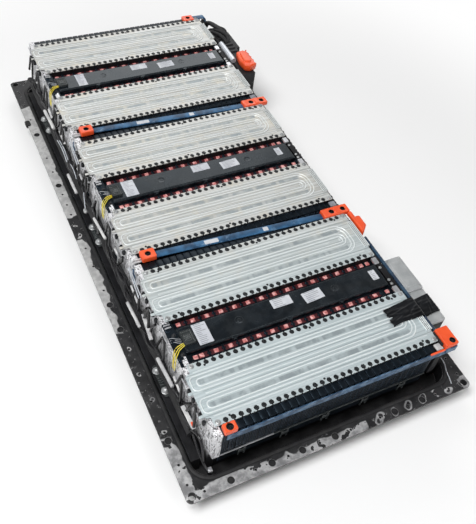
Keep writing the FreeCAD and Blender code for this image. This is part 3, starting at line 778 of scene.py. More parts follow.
def smooth_path(points, steps=6):
    """Points on a smooth curve through the given ones."""
    path = []
    padded = [points[0]] + list(points) + [points[-1]]
    for index in range(1, len(padded) - 2):
        p0, p1, p2, p3 = padded[index - 1:index + 3]
        for step in range(steps):
            t = step / steps
            path.append(0.5 * ((2 * p1) + (p2 - p0) * t + (2 * p0 - 5 * p1 + 4 * p2 - p3) * t * t
                               + (3 * p1 - p0 - 3 * p2 + p3) * t ** 3))
    path.append(points[-1])
    return path


def tubes(name, paths, radius, slot, sides=10, steps=6, replaced=()):
    """Round tubes along smooth paths, as one piece."""
    verts = []
    edges = []
    for points in paths:
        line = smooth_path([Vector(point) for point in points], steps)
        edges += [(len(verts) + index, len(verts) + index + 1) for index in range(len(line) - 1)]
        verts += [point * MM for point in line]
    host = bpy.data.meshes.new(name)
    host.from_pydata(verts, edges, [])
    values = {"Radius": radius * MM, "Sides": sides, "Finish": MATERIALS[slot]}
    return grow(name, host, TUBE, values, slot, replaced, 50.0)


# Cooling plates

PLATE_NEAR = -PLATE_LIP
PLATE_FAR = ROW_SPACING + PLATE_LIP
PLATE_MIDDLE = ROW_SPACING / 2
PLATE_LEFT = -12.0
PLATE_RIGHT = ROW_LENGTH + 12.0
NOTCH_RADIUS = 8.3
NOTCH_NECK = 1.8
TONGUE_LEFT = -31.0
TONGUE_INSET = 22.0
OUTER_LANE = 58.0
INNER_LANE = 20.0
LANE_HALF = 6.0
LOOP_LEFT = -15.0
LOOP_BEND = 13.5
LOOP_WIDENING = 1.5
WIDE_TURN_RIGHT = 743.0
WIDE_TURN_BEND = 42.0
PORT_TURN_RIGHT = 720.0
PORT_X = 707.0
SIDE_LINE = 77.0
HEM_LEFT = 770.5
HEM_RIBS = 4
HEM_SPACING = 6.2
RIDGE_SECTION = ((-3.5, -0.6), (-2.6, 0.9), (-1.4, 2.4), (-0.5, 2.8), (0.5, 2.8), (1.4, 2.4), (2.6, 0.9),
                 (3.5, -0.6))
FLOOR_SECTION = ((-3.6, -0.6), (-3.4, 0.9), (3.4, 0.9), (3.6, -0.6))
LINE_SECTION = ((-3.9, -0.5), (-2.8, 0.9), (-1.2, 2.0), (1.2, 2.0), (2.8, 0.9), (3.9, -0.5))


def notched_edge(y, inward, reverse):
    """One long edge of the sheet: a round hole with a narrow neck at each stud."""
    points = []
    row = y + inward * PLATE_LIP
    opening = math.asin(NOTCH_NECK / NOTCH_RADIUS)
    steps = 11
    for number in range(1, STUD_COUNT + 1):
        x = number * STUD_PITCH
        notch = [(x - NOTCH_NECK - 1.0, y), (x - NOTCH_NECK, y + inward * 1.0)]
        for step in range(steps + 1):
            angle = -math.pi / 2 - opening - (2 * math.pi - 2 * opening) * step / steps
            notch.append((x + NOTCH_RADIUS * math.cos(angle), row + inward * NOTCH_RADIUS * math.sin(angle)))
        notch += [(x + NOTCH_NECK, y + inward * 1.0), (x + NOTCH_NECK + 1.0, y)]
        points += notch
    if reverse:
        points.reverse()
    return [Vector(point) for point in points]


def sheet_outline():
    """Plan of one cooling plate's sheet, anticlockwise, from its near left corner."""
    near_side = PLATE_NEAR + TONGUE_INSET + PLATE_LIP
    far_side = PLATE_FAR - TONGUE_INSET - PLATE_LIP
    left = rounded([(PLATE_LEFT + 40, PLATE_FAR, 0), (PLATE_LEFT, PLATE_FAR, 5), (PLATE_LEFT, far_side, 4),
                    (TONGUE_LEFT, far_side, 12), (TONGUE_LEFT, near_side, 12), (PLATE_LEFT, near_side, 4),
                    (PLATE_LEFT, PLATE_NEAR, 5), (PLATE_LEFT + 40, PLATE_NEAR, 0)], 4)
    near = notched_edge(PLATE_NEAR, 1, False)
    far = notched_edge(PLATE_FAR, -1, True)
    right = rounded([(PLATE_RIGHT - 40, PLATE_NEAR, 0), (PLATE_RIGHT, PLATE_NEAR, 5),
                     (PLATE_RIGHT, PLATE_FAR, 5), (PLATE_RIGHT - 40, PLATE_FAR, 0)], 4)
    return near + right[1:-1] + far + left[1:-1]


def channel_line(grow):
    """Closed line along the coolant channel, set off by grow: four lanes, two loops and two turns."""
    left = LOOP_LEFT - LOOP_WIDENING * grow
    outer = OUTER_LANE + grow
    inner = INNER_LANE - grow
    bend = LOOP_BEND + grow * 0.2
    wide = WIDE_TURN_RIGHT + grow
    port = PORT_TURN_RIGHT - grow
    corners = [(left, -outer, bend), (wide, -outer, WIDE_TURN_BEND + grow),
               (wide, outer, WIDE_TURN_BEND + grow),
               (left, outer, bend), (left, inner, bend), (port, inner, inner - 0.1),
               (port, -inner, inner - 0.1),
               (left, -inner, bend)]
    return [point + Vector((0, PLATE_MIDDLE)) for point in rounded(corners, 8)]


def cooling_plate(block, row, node):
    """Stamped sheet with its channel between two ridges, edge lines, port, hem and small marks."""
    corner = at(block, 0, row)
    bm = bmesh.new()
    slab(bm, sheet_outline(), -SHEET, 0, 0.7, shelf=0.0)
    ridge(bm, channel_line(LANE_HALF), RIDGE_SECTION, 0, True)
    ridge(bm, channel_line(-LANE_HALF), RIDGE_SECTION, 0, True)
    ridge(bm, channel_line(0.0), FLOOR_SECTION, 0, True)
    for side in (-1, 1):
        y = PLATE_MIDDLE + side * SIDE_LINE
        ridge(bm, [Vector((-4, y)), Vector((PLATE_RIGHT - 24, y))], LINE_SECTION, 0)
    ridge(bm, [Vector((4, PLATE_MIDDLE)), Vector((660, PLATE_MIDDLE))], LINE_SECTION, 0)
    lathe(bm, ((8.5, -0.5), (7.8, 1.6), (6.4, 2.2), (5.0, 1.4), (4.2, 0.4), (0.5, 0.4)),
          (PORT_X, PLATE_MIDDLE, 0), 20)
    for side in (-1, 1):
        lathe(bm, ((4.0, -0.4), (3.2, 0.9), (0.4, 1.3)), (600, PLATE_MIDDLE + side * 40, 0), 12)
    for rib in range(HEM_RIBS):
        x = HEM_LEFT + rib * HEM_SPACING
        foot = -0.4 if x < PLATE_RIGHT - 3 else COMB_TOP - PLATE_TOP
        slab(bm, (x, x + 3.4, PLATE_MIDDLE - 64, PLATE_MIDDLE + 64, 1.5, 3), foot, 4.8, 1.2)
    for vert in bm.verts:
        vert.co += corner
    item = finish(node + "_sheet", bm, "plate_aluminium", (node,), 28.0)
    uv = item.data.uv_layers.new(name="plate")
    for loop in item.data.loops:
        place = item.data.vertices[loop.vertex_index].co / MM - corner
        uv.data[loop.index].uv = (place.x * MM, 0.5 + (place.y - PLATE_MIDDLE) * MM)


def hem_gaskets():
    """Black strips between the ribs of every hem, standing in for the shade between them."""
    bm = bmesh.new()
    for block in BLOCKS:
        for row in (0, FAR_ROW):
            low = at(block, HEM_LEFT + 1, row + PLATE_MIDDLE - 61, 0)
            high = at(block, PLATE_RIGHT - 0.6, row + PLATE_MIDDLE + 61, 1.6)
            # Painted shade: black slabs under and between the hem ribs.
            slab(bm, (low.x, high.x, low.y, high.y, 1, 2), low.z - 0.3, high.z, 0.4)
            slab(bm, (PLATE_RIGHT + ROW_LEFT + 0.2, ROW_LEFT + HEM_LEFT + (HEM_RIBS - 1) * HEM_SPACING + 4.4,
                               low.y, high.y, 0.6, 2), COMB_TOP, high.z - 1.5, 0.4)
    finish("hem_gaskets", bm, "black_rubber")


# Small fasteners


def stud_places():
    """Every stud: thirty to a row, four rows to a block."""
    places = []
    for block in BLOCKS:
        for row in STUD_ROWS:
            places += [at(block, number * STUD_PITCH, row, -SHEET) for number in range(1, STUD_COUNT + 1)]
    return places


def turned(profile, sides):
    """Turned shape about its own origin."""
    bm = bmesh.new()
    lathe(bm, profile, (0, 0, 0), sides)
    return bm


def stud():
    """Black knob with a dished top and a socket."""
    return turned(((7.3, -1.0), (7.3, 3.4), (6.2, 4.6), (4.4, 4.6), (3.4, 3.4), (0.6, 3.2)), 10)


def end_screw():
    """Grey pan head with a washer and a socket."""
    return turned(((9.0, -0.2), (9.0, 1.0), (7.4, 1.4), (7.0, 3.4), (5.4, 4.4), (3.2, 4.4), (2.8, 2.6),
                   (0.5, 2.6)), 14)


def small_dot(radius, height):
    """Small rivet head."""
    return turned(((radius, -0.3), (radius, height * 0.5), (radius * 0.6, height), (0.3, height)), 8)


def fasteners():
    """Studs, end screws, rivets and edge dots of all blocks."""
    repeat("stud_knobs", stud(), stud_places(), "stud_black", turn=math.pi, spread=0.06, seed=4)
    repeat("stud_centres", small_dot(3.3, 0.6), [place + Vector((0, 0, 3.4)) for place in stud_places()],
           "stud_black", turn=math.pi, seed=9)
    screws = []
    rivets = []
    dots = []
    for block in BLOCKS:
        for row in STUD_ROWS:
            screws += [at(block, x, row) for x in (0, ROW_LENGTH)]
        for row in (0, FAR_ROW):
            rivets += [at(block, x, row + y) for x, y in ((41, 8), (362, 8), (735, 8), (41, 189), (412, 190),
                                                          (735, 190))]
            for y, side in ((PLATE_NEAR, -1), (PLATE_FAR, 1)):
                dots += [at(block, x, row + y + side * 1.5, -1) for x in range(13, 770, 100)]
    repeat("end_screws", end_screw(), screws, "screw_zinc", turn=math.pi, seed=5)
    repeat("plate_rivets", small_dot(4.0, 1.6), rivets, "stud_black", turn=math.pi, seed=6)
    repeat("edge_dots", small_dot(3.0, 2.6), dots, "stud_black", turn=math.pi, seed=7)


# Combs of cell frame ends


def comb_tooth(depth, height):
    """End of one cell frame: a rounded block with three ribs down its front."""
    bm = bmesh.new()
    half = STUD_PITCH / 2 - 0.9
    slab(bm, (-half, half, -height, 0, 2.0, 2), 0, depth - 3, 1.6, on_front_out)
    for x in (-half * 0.55, 0, half * 0.55):
        slab(bm, (x - 1.7, x + 1.7, -height + 6, -8, 1.0, 1), depth - 4, depth, 0.9, on_front_out)
    slab(bm, (-half + 5, half - 5, 5, depth - 9, 2, 2), -1.0, 0.8, 0.7)
    return bm


def comb(block, near):
    """One comb: cell frame ends above a plain base with a long lip."""
    name = "front_comb" if near else "rear_comb"
    node = "%s_%d" % (name, block + 1)
    low, high = box_mm(node)
    tooth_height = 130.0
    depth = high.y - low.y
    y = high.y if near else low.y
    side = -1 if near else 1
    places = [(ROW_LEFT + (number + 0.5) * STUD_PITCH, 0, high.z) for number in range(STUD_COUNT)]
    tooth = comb_tooth(depth, tooth_height)
    for vert in tooth.verts:
        vert.co.y = y - side * vert.co.y
    repeat(node + "_frames", tooth, places, "black_plastic", replaced=(node,))
    bm = bmesh.new()
    outer = depth - 5
    profile = [(0, low.z), (outer - 3, low.z), (outer - 3, low.z + 30), (outer, low.z + 34),
               (outer, low.z + 52), (outer - 4, low.z + 55), (outer - 4, high.z - tooth_height + 1),
               (0, high.z - tooth_height + 1)]
    points = [Vector((y + side * reach, z)) for reach, z in profile]
    if near:
        points.reverse()
    slab(bm, points, low.x, high.x, 0.0, on_side)
    y0, y1 = sorted((y, y + side * (depth - 2)))
    block_box(bm, (ROW_LEFT + STUD_COUNT * STUD_PITCH + 0.5, y0, high.z - tooth_height),
              (high.x, y1, high.z - 1), 1.2)
    finish(node + "_base", bm, "black_plastic")
    lug = bmesh.new()
    y0, y1 = sorted((y + side * 5, y + side * 29))
    block_box(lug, (ROW_RIGHT - 11, y0, high.z), (ROW_RIGHT + 14, y1, high.z + 5), 1.5)
    slab(lug, (ROW_RIGHT - 6, ROW_RIGHT + 8, y0 + 6, y1 - 6, 3, 3), high.z + 4, high.z + 7, 1)
    finish(node + "_lug", lug, "white_sleeve" if near and block == 0 else "label_print")


def clamp_lines():
    """Thin strips where the frame ends meet the base: bright near the left end, dull beyond it."""
    bright = bmesh.new()
    dull = bmesh.new()
    z = COMB_TOP - 131.5
    for front in FRONTS:
        y = front - 40.3
        block_box(bright, (ROW_LEFT + 2, y - 1.6, z - 1.2), (ROW_LEFT + 185, y + 3, z + 1.2), 0.5)
        block_box(dull, (ROW_LEFT + 185.5, y - 1.4, z - 1.2), (ROW_RIGHT - 14, y + 3, z + 1.0), 0.5)
    finish("clamp_strips_bright", bright, "strip_steel", ("clamp_strips",))
    finish("clamp_strips_dull", dull, "plug_plastic")


def front_clips():
    """Clips on the front rail: two ears and a bridge each."""
    low, high = box_mm("rail_clips")
    bm = bmesh.new()
    half = 13.0
    for x in (-half + 3, half - 3):
        block_box(bm, (x - 3, -2.5, -20), (x + 3, 3, 22), 1.2)
    block_box(bm, (-half, -4.0, 4), (half, 3, 16), 1.5)
    count = 5
    span = high.x - low.x - 2 * half
    places = [(low.x + half - 8 + span * number / (count - 1), high.y - 1, (low.z + high.z) / 2 - 18)
              for number in range(count)]
    repeat("rail_clip_ears", bm, places, "plug_plastic", replaced=("rail_clips",))


# Middle of each block


TAB_HALF = 9.5
TAB_SHIFT = 3.5


def tab():
    """Copper tab: crowned square with a folded lip."""
    bm = bmesh.new()
    slab(bm, (-7.8, 7.8, -7.6, 7.6, 2.4, 3), -1.0, 2.9, 1.5)
    slab(bm, (-4.5, 4.5, -2.0, 4.6, 1.5, 2), 2.0, 3.4, 0.8)
    return bm


def frame_rib():
    """Rib of the tab frame between two tabs."""
    bm = bmesh.new()
    slab(bm, (-3.4, 3.4, -13, 13, 1.5, 2), -1, 7.0, 1.2)
    slab(bm, (-7.5, 7.5, -3.0, 3.0, 1.5, 2), -1, 4.5, 1.0)
    return bm


def middle(block):
    """Copper tabs, the strips under them that carry painted shade, and the ribs of the frame of one block."""
    number = block + 1
    low, high = box_mm("cell_tabs_%d" % number)
    near = low.y + TAB_HALF
    far = high.y - TAB_HALF
    tab_places = []
    rib_places = []
    strips = bmesh.new()
    for y, first in ((near, 2), (far, 1)):
        places = [(ROW_LEFT + stud_number * STUD_PITCH + TAB_SHIFT, y, FRAME_TOP)
                  for stud_number in range(first, STUD_COUNT + 1, 2)]
        tab_places += places
        rib_places += [(place[0] + STUD_PITCH, y, FRAME_TOP) for place in places[:-1]]
        slab(strips, (ROW_LEFT + 40, ROW_RIGHT - 40, y - 9, y + 9, 2, 2), FRAME_TOP - 1, FRAME_TOP + 0.9, 0.3)
    # Painted shade: these strips lie below the tab copper's shade height, so they show its painted dark red
    # shade.
    finish("tab_strips_%d" % number, strips, "tab_copper")
    tab_places += [(ROW_LEFT + 33, near, FRAME_TOP), (ROW_RIGHT - 21, far, FRAME_TOP)]
    repeat("cell_tabs_%d_copper" % number, tab(), tab_places, "tab_copper", turn=0.05, seed=8 + number,
           replaced=("cell_tabs_%d" % number,), sharp=45.0)
    repeat("frame_ribs_%d" % number, frame_rib(), rib_places, "black_plastic", spread=0.1, seed=20 + number)


COVER_LABELS = (
    ((58, 106, 38, 118, 0.0), (339, 413, 79, 115, 0.0), (453, 526, 61, 103, 0.07), (723, 748, 62, 104, 0.0)),
    ((63, 111, 38, 118, 0.0), (344, 415, 79, 115, 0.0), (461, 534, 61, 101, 0.06), (703, 728, 62, 104, 0.0)),
    ((96, 134, 38, 118, 0.0), (344, 415, 79, 115, 0.0), (466, 537, 61, 101, 0.04), (713, 740, 62, 104, 0.0)),
)


def turned_rectangle(x0, x1, y0, y1, angle, radius=1.5):
    """Rectangle turned about its own middle."""
    centre = Vector(((x0 + x1) / 2, (y0 + y1) / 2))
    spin = Matrix.Rotation(angle, 2)
    return [centre + spin @ (point - centre) for point in rectangle(x0, x1, y0, y1, radius, 2)]


def cover(block):
    """Monitoring cover: stepped lid with round bosses, edge clips and labels."""
    number = block + 1
    node = "monitor_cover_%d" % number
    low, high = box_mm(node)
    top = high.z
    bm = bmesh.new()
    slab(bm, (low.x, high.x, low.y, high.y, 6, 4), low.z, top - 4.2, 1.5)
    slab(bm, (low.x + 4, high.x - 4, low.y + 4, high.y - 4, 5, 4), top - 5, top - 1.2, 2.0)
    for x in (213, 575):
        place = (ROW_LEFT + x, (low.y + high.y) / 2 + 4, top - 1.2)
        lathe(bm, ((14, -0.3), (13.4, 0.25), (12.4, 0.25), (11.8, -0.1), (6, -0.1), (5.2, 0.6), (1, 0.6)),
              place, 24)
    for x in (175, 375, 575):
        block_box(bm, (ROW_LEFT + x - 9, low.y - 4, low.z), (ROW_LEFT + x + 9, low.y + 6, top - 3), 1.5)
        block_box(bm, (ROW_LEFT + x - 5, low.y - 7, low.z), (ROW_LEFT + x + 5, low.y, top - 7), 1.2)
    finish(node + "_lid", bm, "cover_plastic", (node,))
    labels = bmesh.new()
    print_bars = bmesh.new()
    for x0, x1, y0, y1, angle in COVER_LABELS[block]:
        outline = turned_rectangle(ROW_LEFT + x0, ROW_LEFT + x1, low.y + y0 - 30, low.y + y1 - 30, angle)
        slab(labels, outline, top - 1.4, top - 0.5, 0.15)
        bars(print_bars, outline, top - 0.45)
    finish("cover_labels_%d" % number, labels, "label_paper")
    finish("cover_label_bars_%d" % number, print_bars, "label_print")


def signal_plugs():
    """Signal plugs: a framed block with a recess, a latch and a row of ribs."""
    low, high = box_mm("cover_plugs")
    depth = 54.0
    bm = bmesh.new()
    for front in FRONTS:
        y = low.y + front - FRONTS[0]
        slab(bm, (low.x, high.x, y, y + depth, 4, 4), low.z, high.z - 3, 1.5)
        for x0, x1, y0, y1 in ((0, 40, 0, 5), (0, 40, 49, 54), (0, 4, 0, 54), (35, 40, 0, 54)):
            slab(bm, (low.x + x0, low.x + x1, y + y0, y + y1, 1.8, 3), high.z - 4, high.z, 1.2)
        slab(bm, (low.x + 9, low.x + 29, y + 15, y + 39, 3, 3), high.z - 4, high.z - 1, 1.2)
        for k in range(4):
            slab(bm, (low.x + 11 + k * 4.6, low.x + 13 + k * 4.6, y + 19, y + 35, 0.8, 2),
                 high.z - 2, high.z - 0.2, 0.5)
    finish("cover_plugs_moulded", bm, "plug_plastic", ("cover_plugs",))


def bars(bm, outline, z):
    """Plain grey bars of uneven length across a label."""
    picker = random.Random(len(bm.verts) + 3)
    corner = outline[1]
    along = (outline[3] - outline[1]).normalized()
    across = Vector((-along.y, along.x))
    width = max((point - corner).dot(along) for point in outline)
    height = max((point - corner).dot(across) for point in outline)
    rows = max(2, int(height / 6.5))
    for row in range(rows):
        y = height * (row + 0.5) / rows
        start = width * 0.12
        stop = width * picker.uniform(0.45, 0.88)
        points = [corner + along * x + across * (y + rise)
                  for x, rise in ((start, -1.0), (stop, -1.0), (stop, 1.0), (start, 1.0))]
        slab(bm, points, z - 0.2, z + 0.05, 0.0)


# Busbars and caps


def socket_screw(bm, x, y, z, radius):
    """Dark screw at the bottom of a cap's well."""
    lathe(bm, ((radius, -1), (radius, 1.5), (radius * 0.8, 2.4), (radius * 0.5, 2.4), (radius * 0.45, 0.8),
               (0.4, 0.8)), (x, y, z), 12)


def well_shade_liner(bm, x, y, z, radius, depth):
    """Dark cup that lines a cap's well up to a little below its mouth, standing in for the shade inside the
    well.
    """
    lathe(bm, ((radius, 0.2), (radius, depth - 1.5), (radius - 0.7, depth - 1.5), (radius - 0.9, 0.6),
               (0.4, 0.6)),
          (x, y, z), 18)


def welled_cap(bm, screws, low, high, holes, well=8.5, depth=12.0, edge=2.2):
    """Cap with a rounded body and round wells, each well a ring of faces down to its floor."""
    outline = rectangle(low.x, high.x, low.y, high.y, 4, 4)
    slab_with_holes(bm, outline, low.z, high.z, edge, [(x, y, well, depth) for x, y in holes])
    for x, y in holes:
        socket_screw(screws, x, y, high.z - depth, well * 0.7)
        # Painted shade: a dark liner inside each well.
        well_shade_liner(screws, x, y, high.z - depth, well - 0.1, depth)


def slab_with_holes(bm, outline, low, high, edge, holes):
    """Raised outline with blind round holes in its top."""
    inner = offset(outline, edge * 0.35)
    inmost = offset(outline, edge)
    rings = [(outline, low), (outline, high - edge), (inner, high - edge * 0.35), (inmost, high),
             (offset(outline, edge + 0.3), high)]
    rows = loft(bm, [[Vector((p.x, p.y, z)) for p in ring] for ring, z in rings], False)
    bm.faces.new(list(reversed(rows[0])))
    border = [bm.edges.get((rows[-1][i - 1], rows[-1][i])) for i in range(len(rows[-1]))]
    for x, y, radius, depth in holes:
        profile = ((radius + 1.4, 0), (radius + 0.5, -0.3), (radius, -1.2), (radius, -depth))
        wall = [[Vector((p.x, p.y, high + drop)) for p in circle(x, y, r, 18)] for r, drop in profile]
        circle_rows = loft(bm, wall, False)
        bm.faces.new(circle_rows[-1])
        border += [bm.edges.get((circle_rows[0][i - 1], circle_rows[0][i])) for i in range(18)]
    bmesh.ops.triangle_fill(bm, use_beauty=True, use_dissolve=False, edges=border)


CAP_DEPTH = 40.0


def caps():
    """Orange caps of all busbars, with their screws."""
    screws = bmesh.new()
    for node, shift, radius in (("front_left_cap", -3.0, 11.5), ("rear_cap", 0.0, 10.0)):
        low, high = box_mm(node)
        low.y += shift
        high.y += shift
        high.z -= 1.5 if shift else 0.0
        bm = bmesh.new()
        welled_cap(bm, screws, low, high, [((low.x + high.x) / 2, (low.y + high.y) / 2)], radius)
        finish(node + "_moulding", bm, "orange_plastic", (node,))
    for node, shares in (("crossing_left_caps", (0.5,)), ("crossing_right_caps", (0.35, 0.8))):
        low, high = box_mm(node)
        bm = bmesh.new()
        for y0 in (low.y, high.y - CAP_DEPTH):
            lower = Vector((low.x, y0, low.z))
            upper = Vector((high.x, y0 + CAP_DEPTH, high.z))
            holes = [(low.x + (high.x - low.x) * share, y0 + CAP_DEPTH / 2) for share in shares]
            welled_cap(bm, screws, lower, upper, holes, 10.4)
            if len(holes) > 1:
                middle_x = (holes[0][0] + holes[1][0]) / 2
                slab(bm, (middle_x - 9, middle_x + 9, lower.y + 2, upper.y - 2, 3, 3), high.z - 1,
                     high.z + 3, 1.5)
                for x in (lower.x + 3, middle_x + 32):
                    slab(bm, (x, x + 2.5, lower.y + 3, upper.y - 3, 1, 2), high.z - 1, high.z + 1.2, 0.6)
        finish(node + "_mouldings", bm, "orange_plastic", (node,))
    front_right_cap(screws)
    crossing_cap_trim()
    finish("cap_screws", screws, "stud_black")
    cable_boot()


def front_right_cap(screws):
    """Cap at the right end of the front bar, with a black block in the gap to the plate's end that stands in for
    the shade there, and the arm that reaches it.
    """
    low, high = box_mm("front_right_cap")
    bm = bmesh.new()
    hole = (RIGHT_PLATE_HIGH.x + 24, low.y + 16)
    welled_cap(bm, screws, Vector((low.x, low.y, COMB_TOP)), high, [hole], 10.8, 12.0, 2.0)
    slab(bm, (RIGHT_PLATE_HIGH.x + 0.4, high.x - 1, low.y + 1, high.y - 1, 4, 3), low.z, COMB_TOP + 1, 1)
    finish("front_right_cap_moulding", bm, "orange_plastic", ("front_right_cap",))
    # Painted shade: a black block fills the gap between the plate's end and the cap.
    bm = bmesh.new()
    front = FRONTS[0]
    block_box(bm, (RIGHT_PLATE_HIGH.x - 17, front - 30, COMB_TOP), (low.x - 0.5, front + 22, PLATE_TOP + 4),
              2)
    finish("front_right_cap_foot", bm, "black_rubber")
    bm = bmesh.new()
    slab(bm, (ROW_LEFT + 735, ROW_LEFT + 793, front - 47, front - 40.5, 2, 3), COMB_TOP - 1.6, COMB_TOP + 4,
         1.5)
    finish("front_bar_arm", bm, "orange_plastic")


def crossing_cap_trim():
    """White bars and blue strips beside the left caps of the crossing bars."""
    low, high = box_mm("crossing_left_caps")
    bars_white = bmesh.new()
    strips_blue = bmesh.new()
    for y0 in (low.y, high.y - CAP_DEPTH):
        for y in (y0 + 5, y0 + 15):
            block_box(bars_white, (low.x - 30, y, COMB_TOP), (low.x - 0.5, y + 5.5, COMB_TOP + 6), 1.5)
        for y in (y0 - 22, y0 - 8):
            block_box(strips_blue, (LEFT_PLATE_LOW.x - 3, y, COMB_TOP - 72),
                      (LEFT_PLATE_LOW.x + 1, y + 5, COMB_TOP - 12), 1)
    finish("crossing_cap_bars", bars_white, "white_sleeve")
    finish("crossing_cap_strips", strips_blue, "bar_sleeve")


def cable_boot():
    """Boot with a tapered front, a raised panel, ribs and a neck to the first long cap."""
    low, high = box_mm("cable_boot")
    neck = 30.0
    rear = high.y - neck
    bm = bmesh.new()
    outline = rounded([(low.x, low.y, 3), (low.x + 8, low.y, 4), (high.x, low.y + 26, 9), (high.x, rear, 7),
                       (low.x, rear, 4)], 5)
    slab(bm, outline, low.z, high.z, 5, both=True)
    panel = rounded([(low.x + 5, low.y + 14, 3), (low.x + 12, low.y + 14, 4), (high.x - 7, low.y + 32, 5),
                     (high.x - 7, rear - 8, 4), (low.x + 5, rear - 8, 4)], 4)
    slab(bm, panel, high.z - 1, high.z + 1.4, 1.0)
    slab(bm, (low.x, low.x + 16, rear - 6, high.y, 4, 3), COMB_TOP, high.z - 2, 3)
    for k in range(3):
        y = low.y + 34 + k * 14
        slab(bm, (y, y + 5, low.z + 5, high.z - 6, 2, 2), high.x - 3, high.x, 1.0, on_side)
    finish("cable_boot_moulding", bm, "orange_plastic", ("cable_boot",))


def busbars():
    """Sleeved bars: on edge at the front, slanted between blocks, angled at the rear."""
    low, high = box_mm("front_busbar")
    bm = bmesh.new()
    y = low.y + 1.7
    bar_path(bm, [(low.x + 4, y, high.z - 0.6), (high.x, y, high.z - 0.6)], 3.3, high.z - low.z - 1, 60, 3)
    bar_path(bm, [(high.x - 4, low.y - 2.0, high.z + 6), (high.x + 38, low.y - 2.0, high.z + 6)], 3.3, 26,
             20, 5)
    bar_path(bm, [(high.x + 36, low.y - 2.0, high.z + 6), (high.x + 42, low.y + 12, high.z + 6)], 3.3, 26,
             6, 6)
    finish("front_busbar_sleeve", bm, "bar_sleeve", ("front_busbar",), 50.0)
    low, high = box_mm("crossing_busbars")
    bm = bmesh.new()
    width = 28.0
    gap = FRONTS[1] - FRONTS[0]
    slant = (high.y - low.y) - gap - width
    for block in BLOCKS[:-1]:
        left = high.y - width / 2 - (len(BLOCKS) - 2 - block) * gap
        right = left - slant
        bar_path(bm, [(low.x, left, high.z), (high.x, right, high.z)], width, 5.0, 50, 7 + block)
    finish("crossing_busbar_sleeves", bm, "bar_sleeve", ("crossing_busbars",), 50.0)
    labels = bmesh.new()
    for block in BLOCKS[:-1]:
        left = high.y - width / 2 - (len(BLOCKS) - 2 - block) * gap
        for start, stop in ((180, 232), (405, 425)):
            y = left - slant * (start + stop) / 2 / (high.x - low.x)
            outline = turned_rectangle(low.x + start, low.x + stop, y - 9, y + 9, -slant / (high.x - low.x))
            slab(labels, outline, high.z - 0.6, high.z + 0.25, 0.1)
    finish("busbar_labels", labels, "label_paper")


def bar_path(bm, ends, width, thickness, cuts, seed):
    """Flat bar between two places, its sleeve a little uneven."""
    start, stop = (Vector(end) for end in ends)
    along = stop - start
    side = Vector((-along.y, along.x, 0)).normalized()
    section = rectangle(-width / 2, width / 2, -thickness, 0, min(width, thickness) * 0.38, 3)
    rings = []
    for cut in range(cuts + 1):
        share = cut / cuts
        wave = 0.5 * noise.noise(Vector((share * 18, seed, 0))) - 0.25
        taper = 0.93 if cut in (0, cuts) else 1.0
        base = start + along * share
        rings.append([base + side * (point.x * taper + wave * 0.6 * point.x / width)
                      + Vector((0, 0, (point.y + thickness / 2) * taper - thickness / 2 + min(wave, 0) * 0.6))
                      for point in section])
    loft(bm, rings)


# Ends of the blocks and the harness


def end_plates():
    """Cast end plates, bright on the left and dark on the right."""
    for block in BLOCKS:
        for side in ("left", "right"):
            end_plate(block, side)


def end_plate(block, side):
    """Cast plate with a lumpy outer face, upright ribs and a rounded top edge."""
    node = "%s_end_plate_%d" % (side, block + 1)
    low, high = box_mm(node)
    outer_x = low.x if side == "left" else high.x
    inner_x = ROW_LEFT if side == "left" else ROW_RIGHT
    sign = -1 if side == "left" else 1
    front = FRONTS[block]
    shoulder = high.z - 140
    cell = 5.0
    columns = round((high.y - low.y) / cell)
    bm = bmesh.new()
    rows = []
    levels = [low.z, low.z + 40, low.z + 80, shoulder - 1] + [shoulder + 140 * k / 26 for k in range(27)]
    for z in levels:
        row = []
        for column in range(columns + 1):
            y = low.y + (high.y - low.y) * column / columns
            if z < shoulder:
                y = min(max(y, front - PLATE_LIP), front + BLOCK_DEPTH + PLATE_LIP)
            rough = noise.noise(Vector((y * 0.10, z * 0.10, block * 7.0 + sign)))
            coarse = noise.noise(Vector((y * 0.03, z * 0.05, block * 3.0 + sign * 5)))
            ribbed = 2.0 if (y - low.y) % 50 < 9 and z > shoulder + 8 else 0.0
            ribbed += 1.2 * math.sin(y * 0.42 + 3 * coarse)
            inset = 3.4 + 2.0 * rough + 1.6 * coarse - ribbed
            edge = 2.5 if z == levels[-1] or column in (0, columns) else 0.0
            row.append(bm.verts.new((outer_x - sign * max(inset + edge, 0.0), y, z)))
        rows.append(row)
    for low_row, high_row in zip(rows, rows[1:]):
        for column in range(columns):
            bm.faces.new((low_row[column], low_row[column + 1], high_row[column + 1], high_row[column]))
    border = rows[0] + [row[-1] for row in rows[1:]] + rows[-1][-2::-1] + [row[0] for row in rows[-2:0:-1]]
    back = [bm.verts.new((inner_x, vert.co.y, vert.co.z)) for vert in border]
    for index in range(len(border)):
        bm.faces.new((border[index - 1], border[index], back[index], back[index - 1]))
    bm.faces.new(back)
    finish(node + "_casting", bm, "cast_aluminium" if side == "left" else "rail_steel", (node,), 60.0)


# White sleeves on the harness: both ends (x and y on the first block) and radius
WHITE_SLEEVES = (
    (-55, 332, -49, 215, 6.3), (-66, 590, -62, 475, 5.8), (-55, 992, -48, 876, 5.4),
    (-73, 1270, -73, 1155, 5.8),
    (-57, 1665, -53, 1536, 6.8),
)


def sleeve_on(bm, ends, radius):
    """Round sleeve between two places, with soft ends and two shallow waists."""
    start, stop = ends
    along = stop - start
    side = Vector((-along.y, along.x, 0)).normalized()
    rings = []
    for share, size in ((0, 0.8), (0.02, 1.0), (0.3, 1.0), (0.33, 0.93), (0.36, 1.0), (0.68, 1.0),
                        (0.71, 0.93),
                        (0.74, 1.0), (0.98, 1.0), (1, 0.8)):
        rings.append([start + along * share + side * (point.x * size) + Vector((0, 0, point.y * size))
                      for point in circle(0, 0, radius, 14)])
    loft(bm, rings)


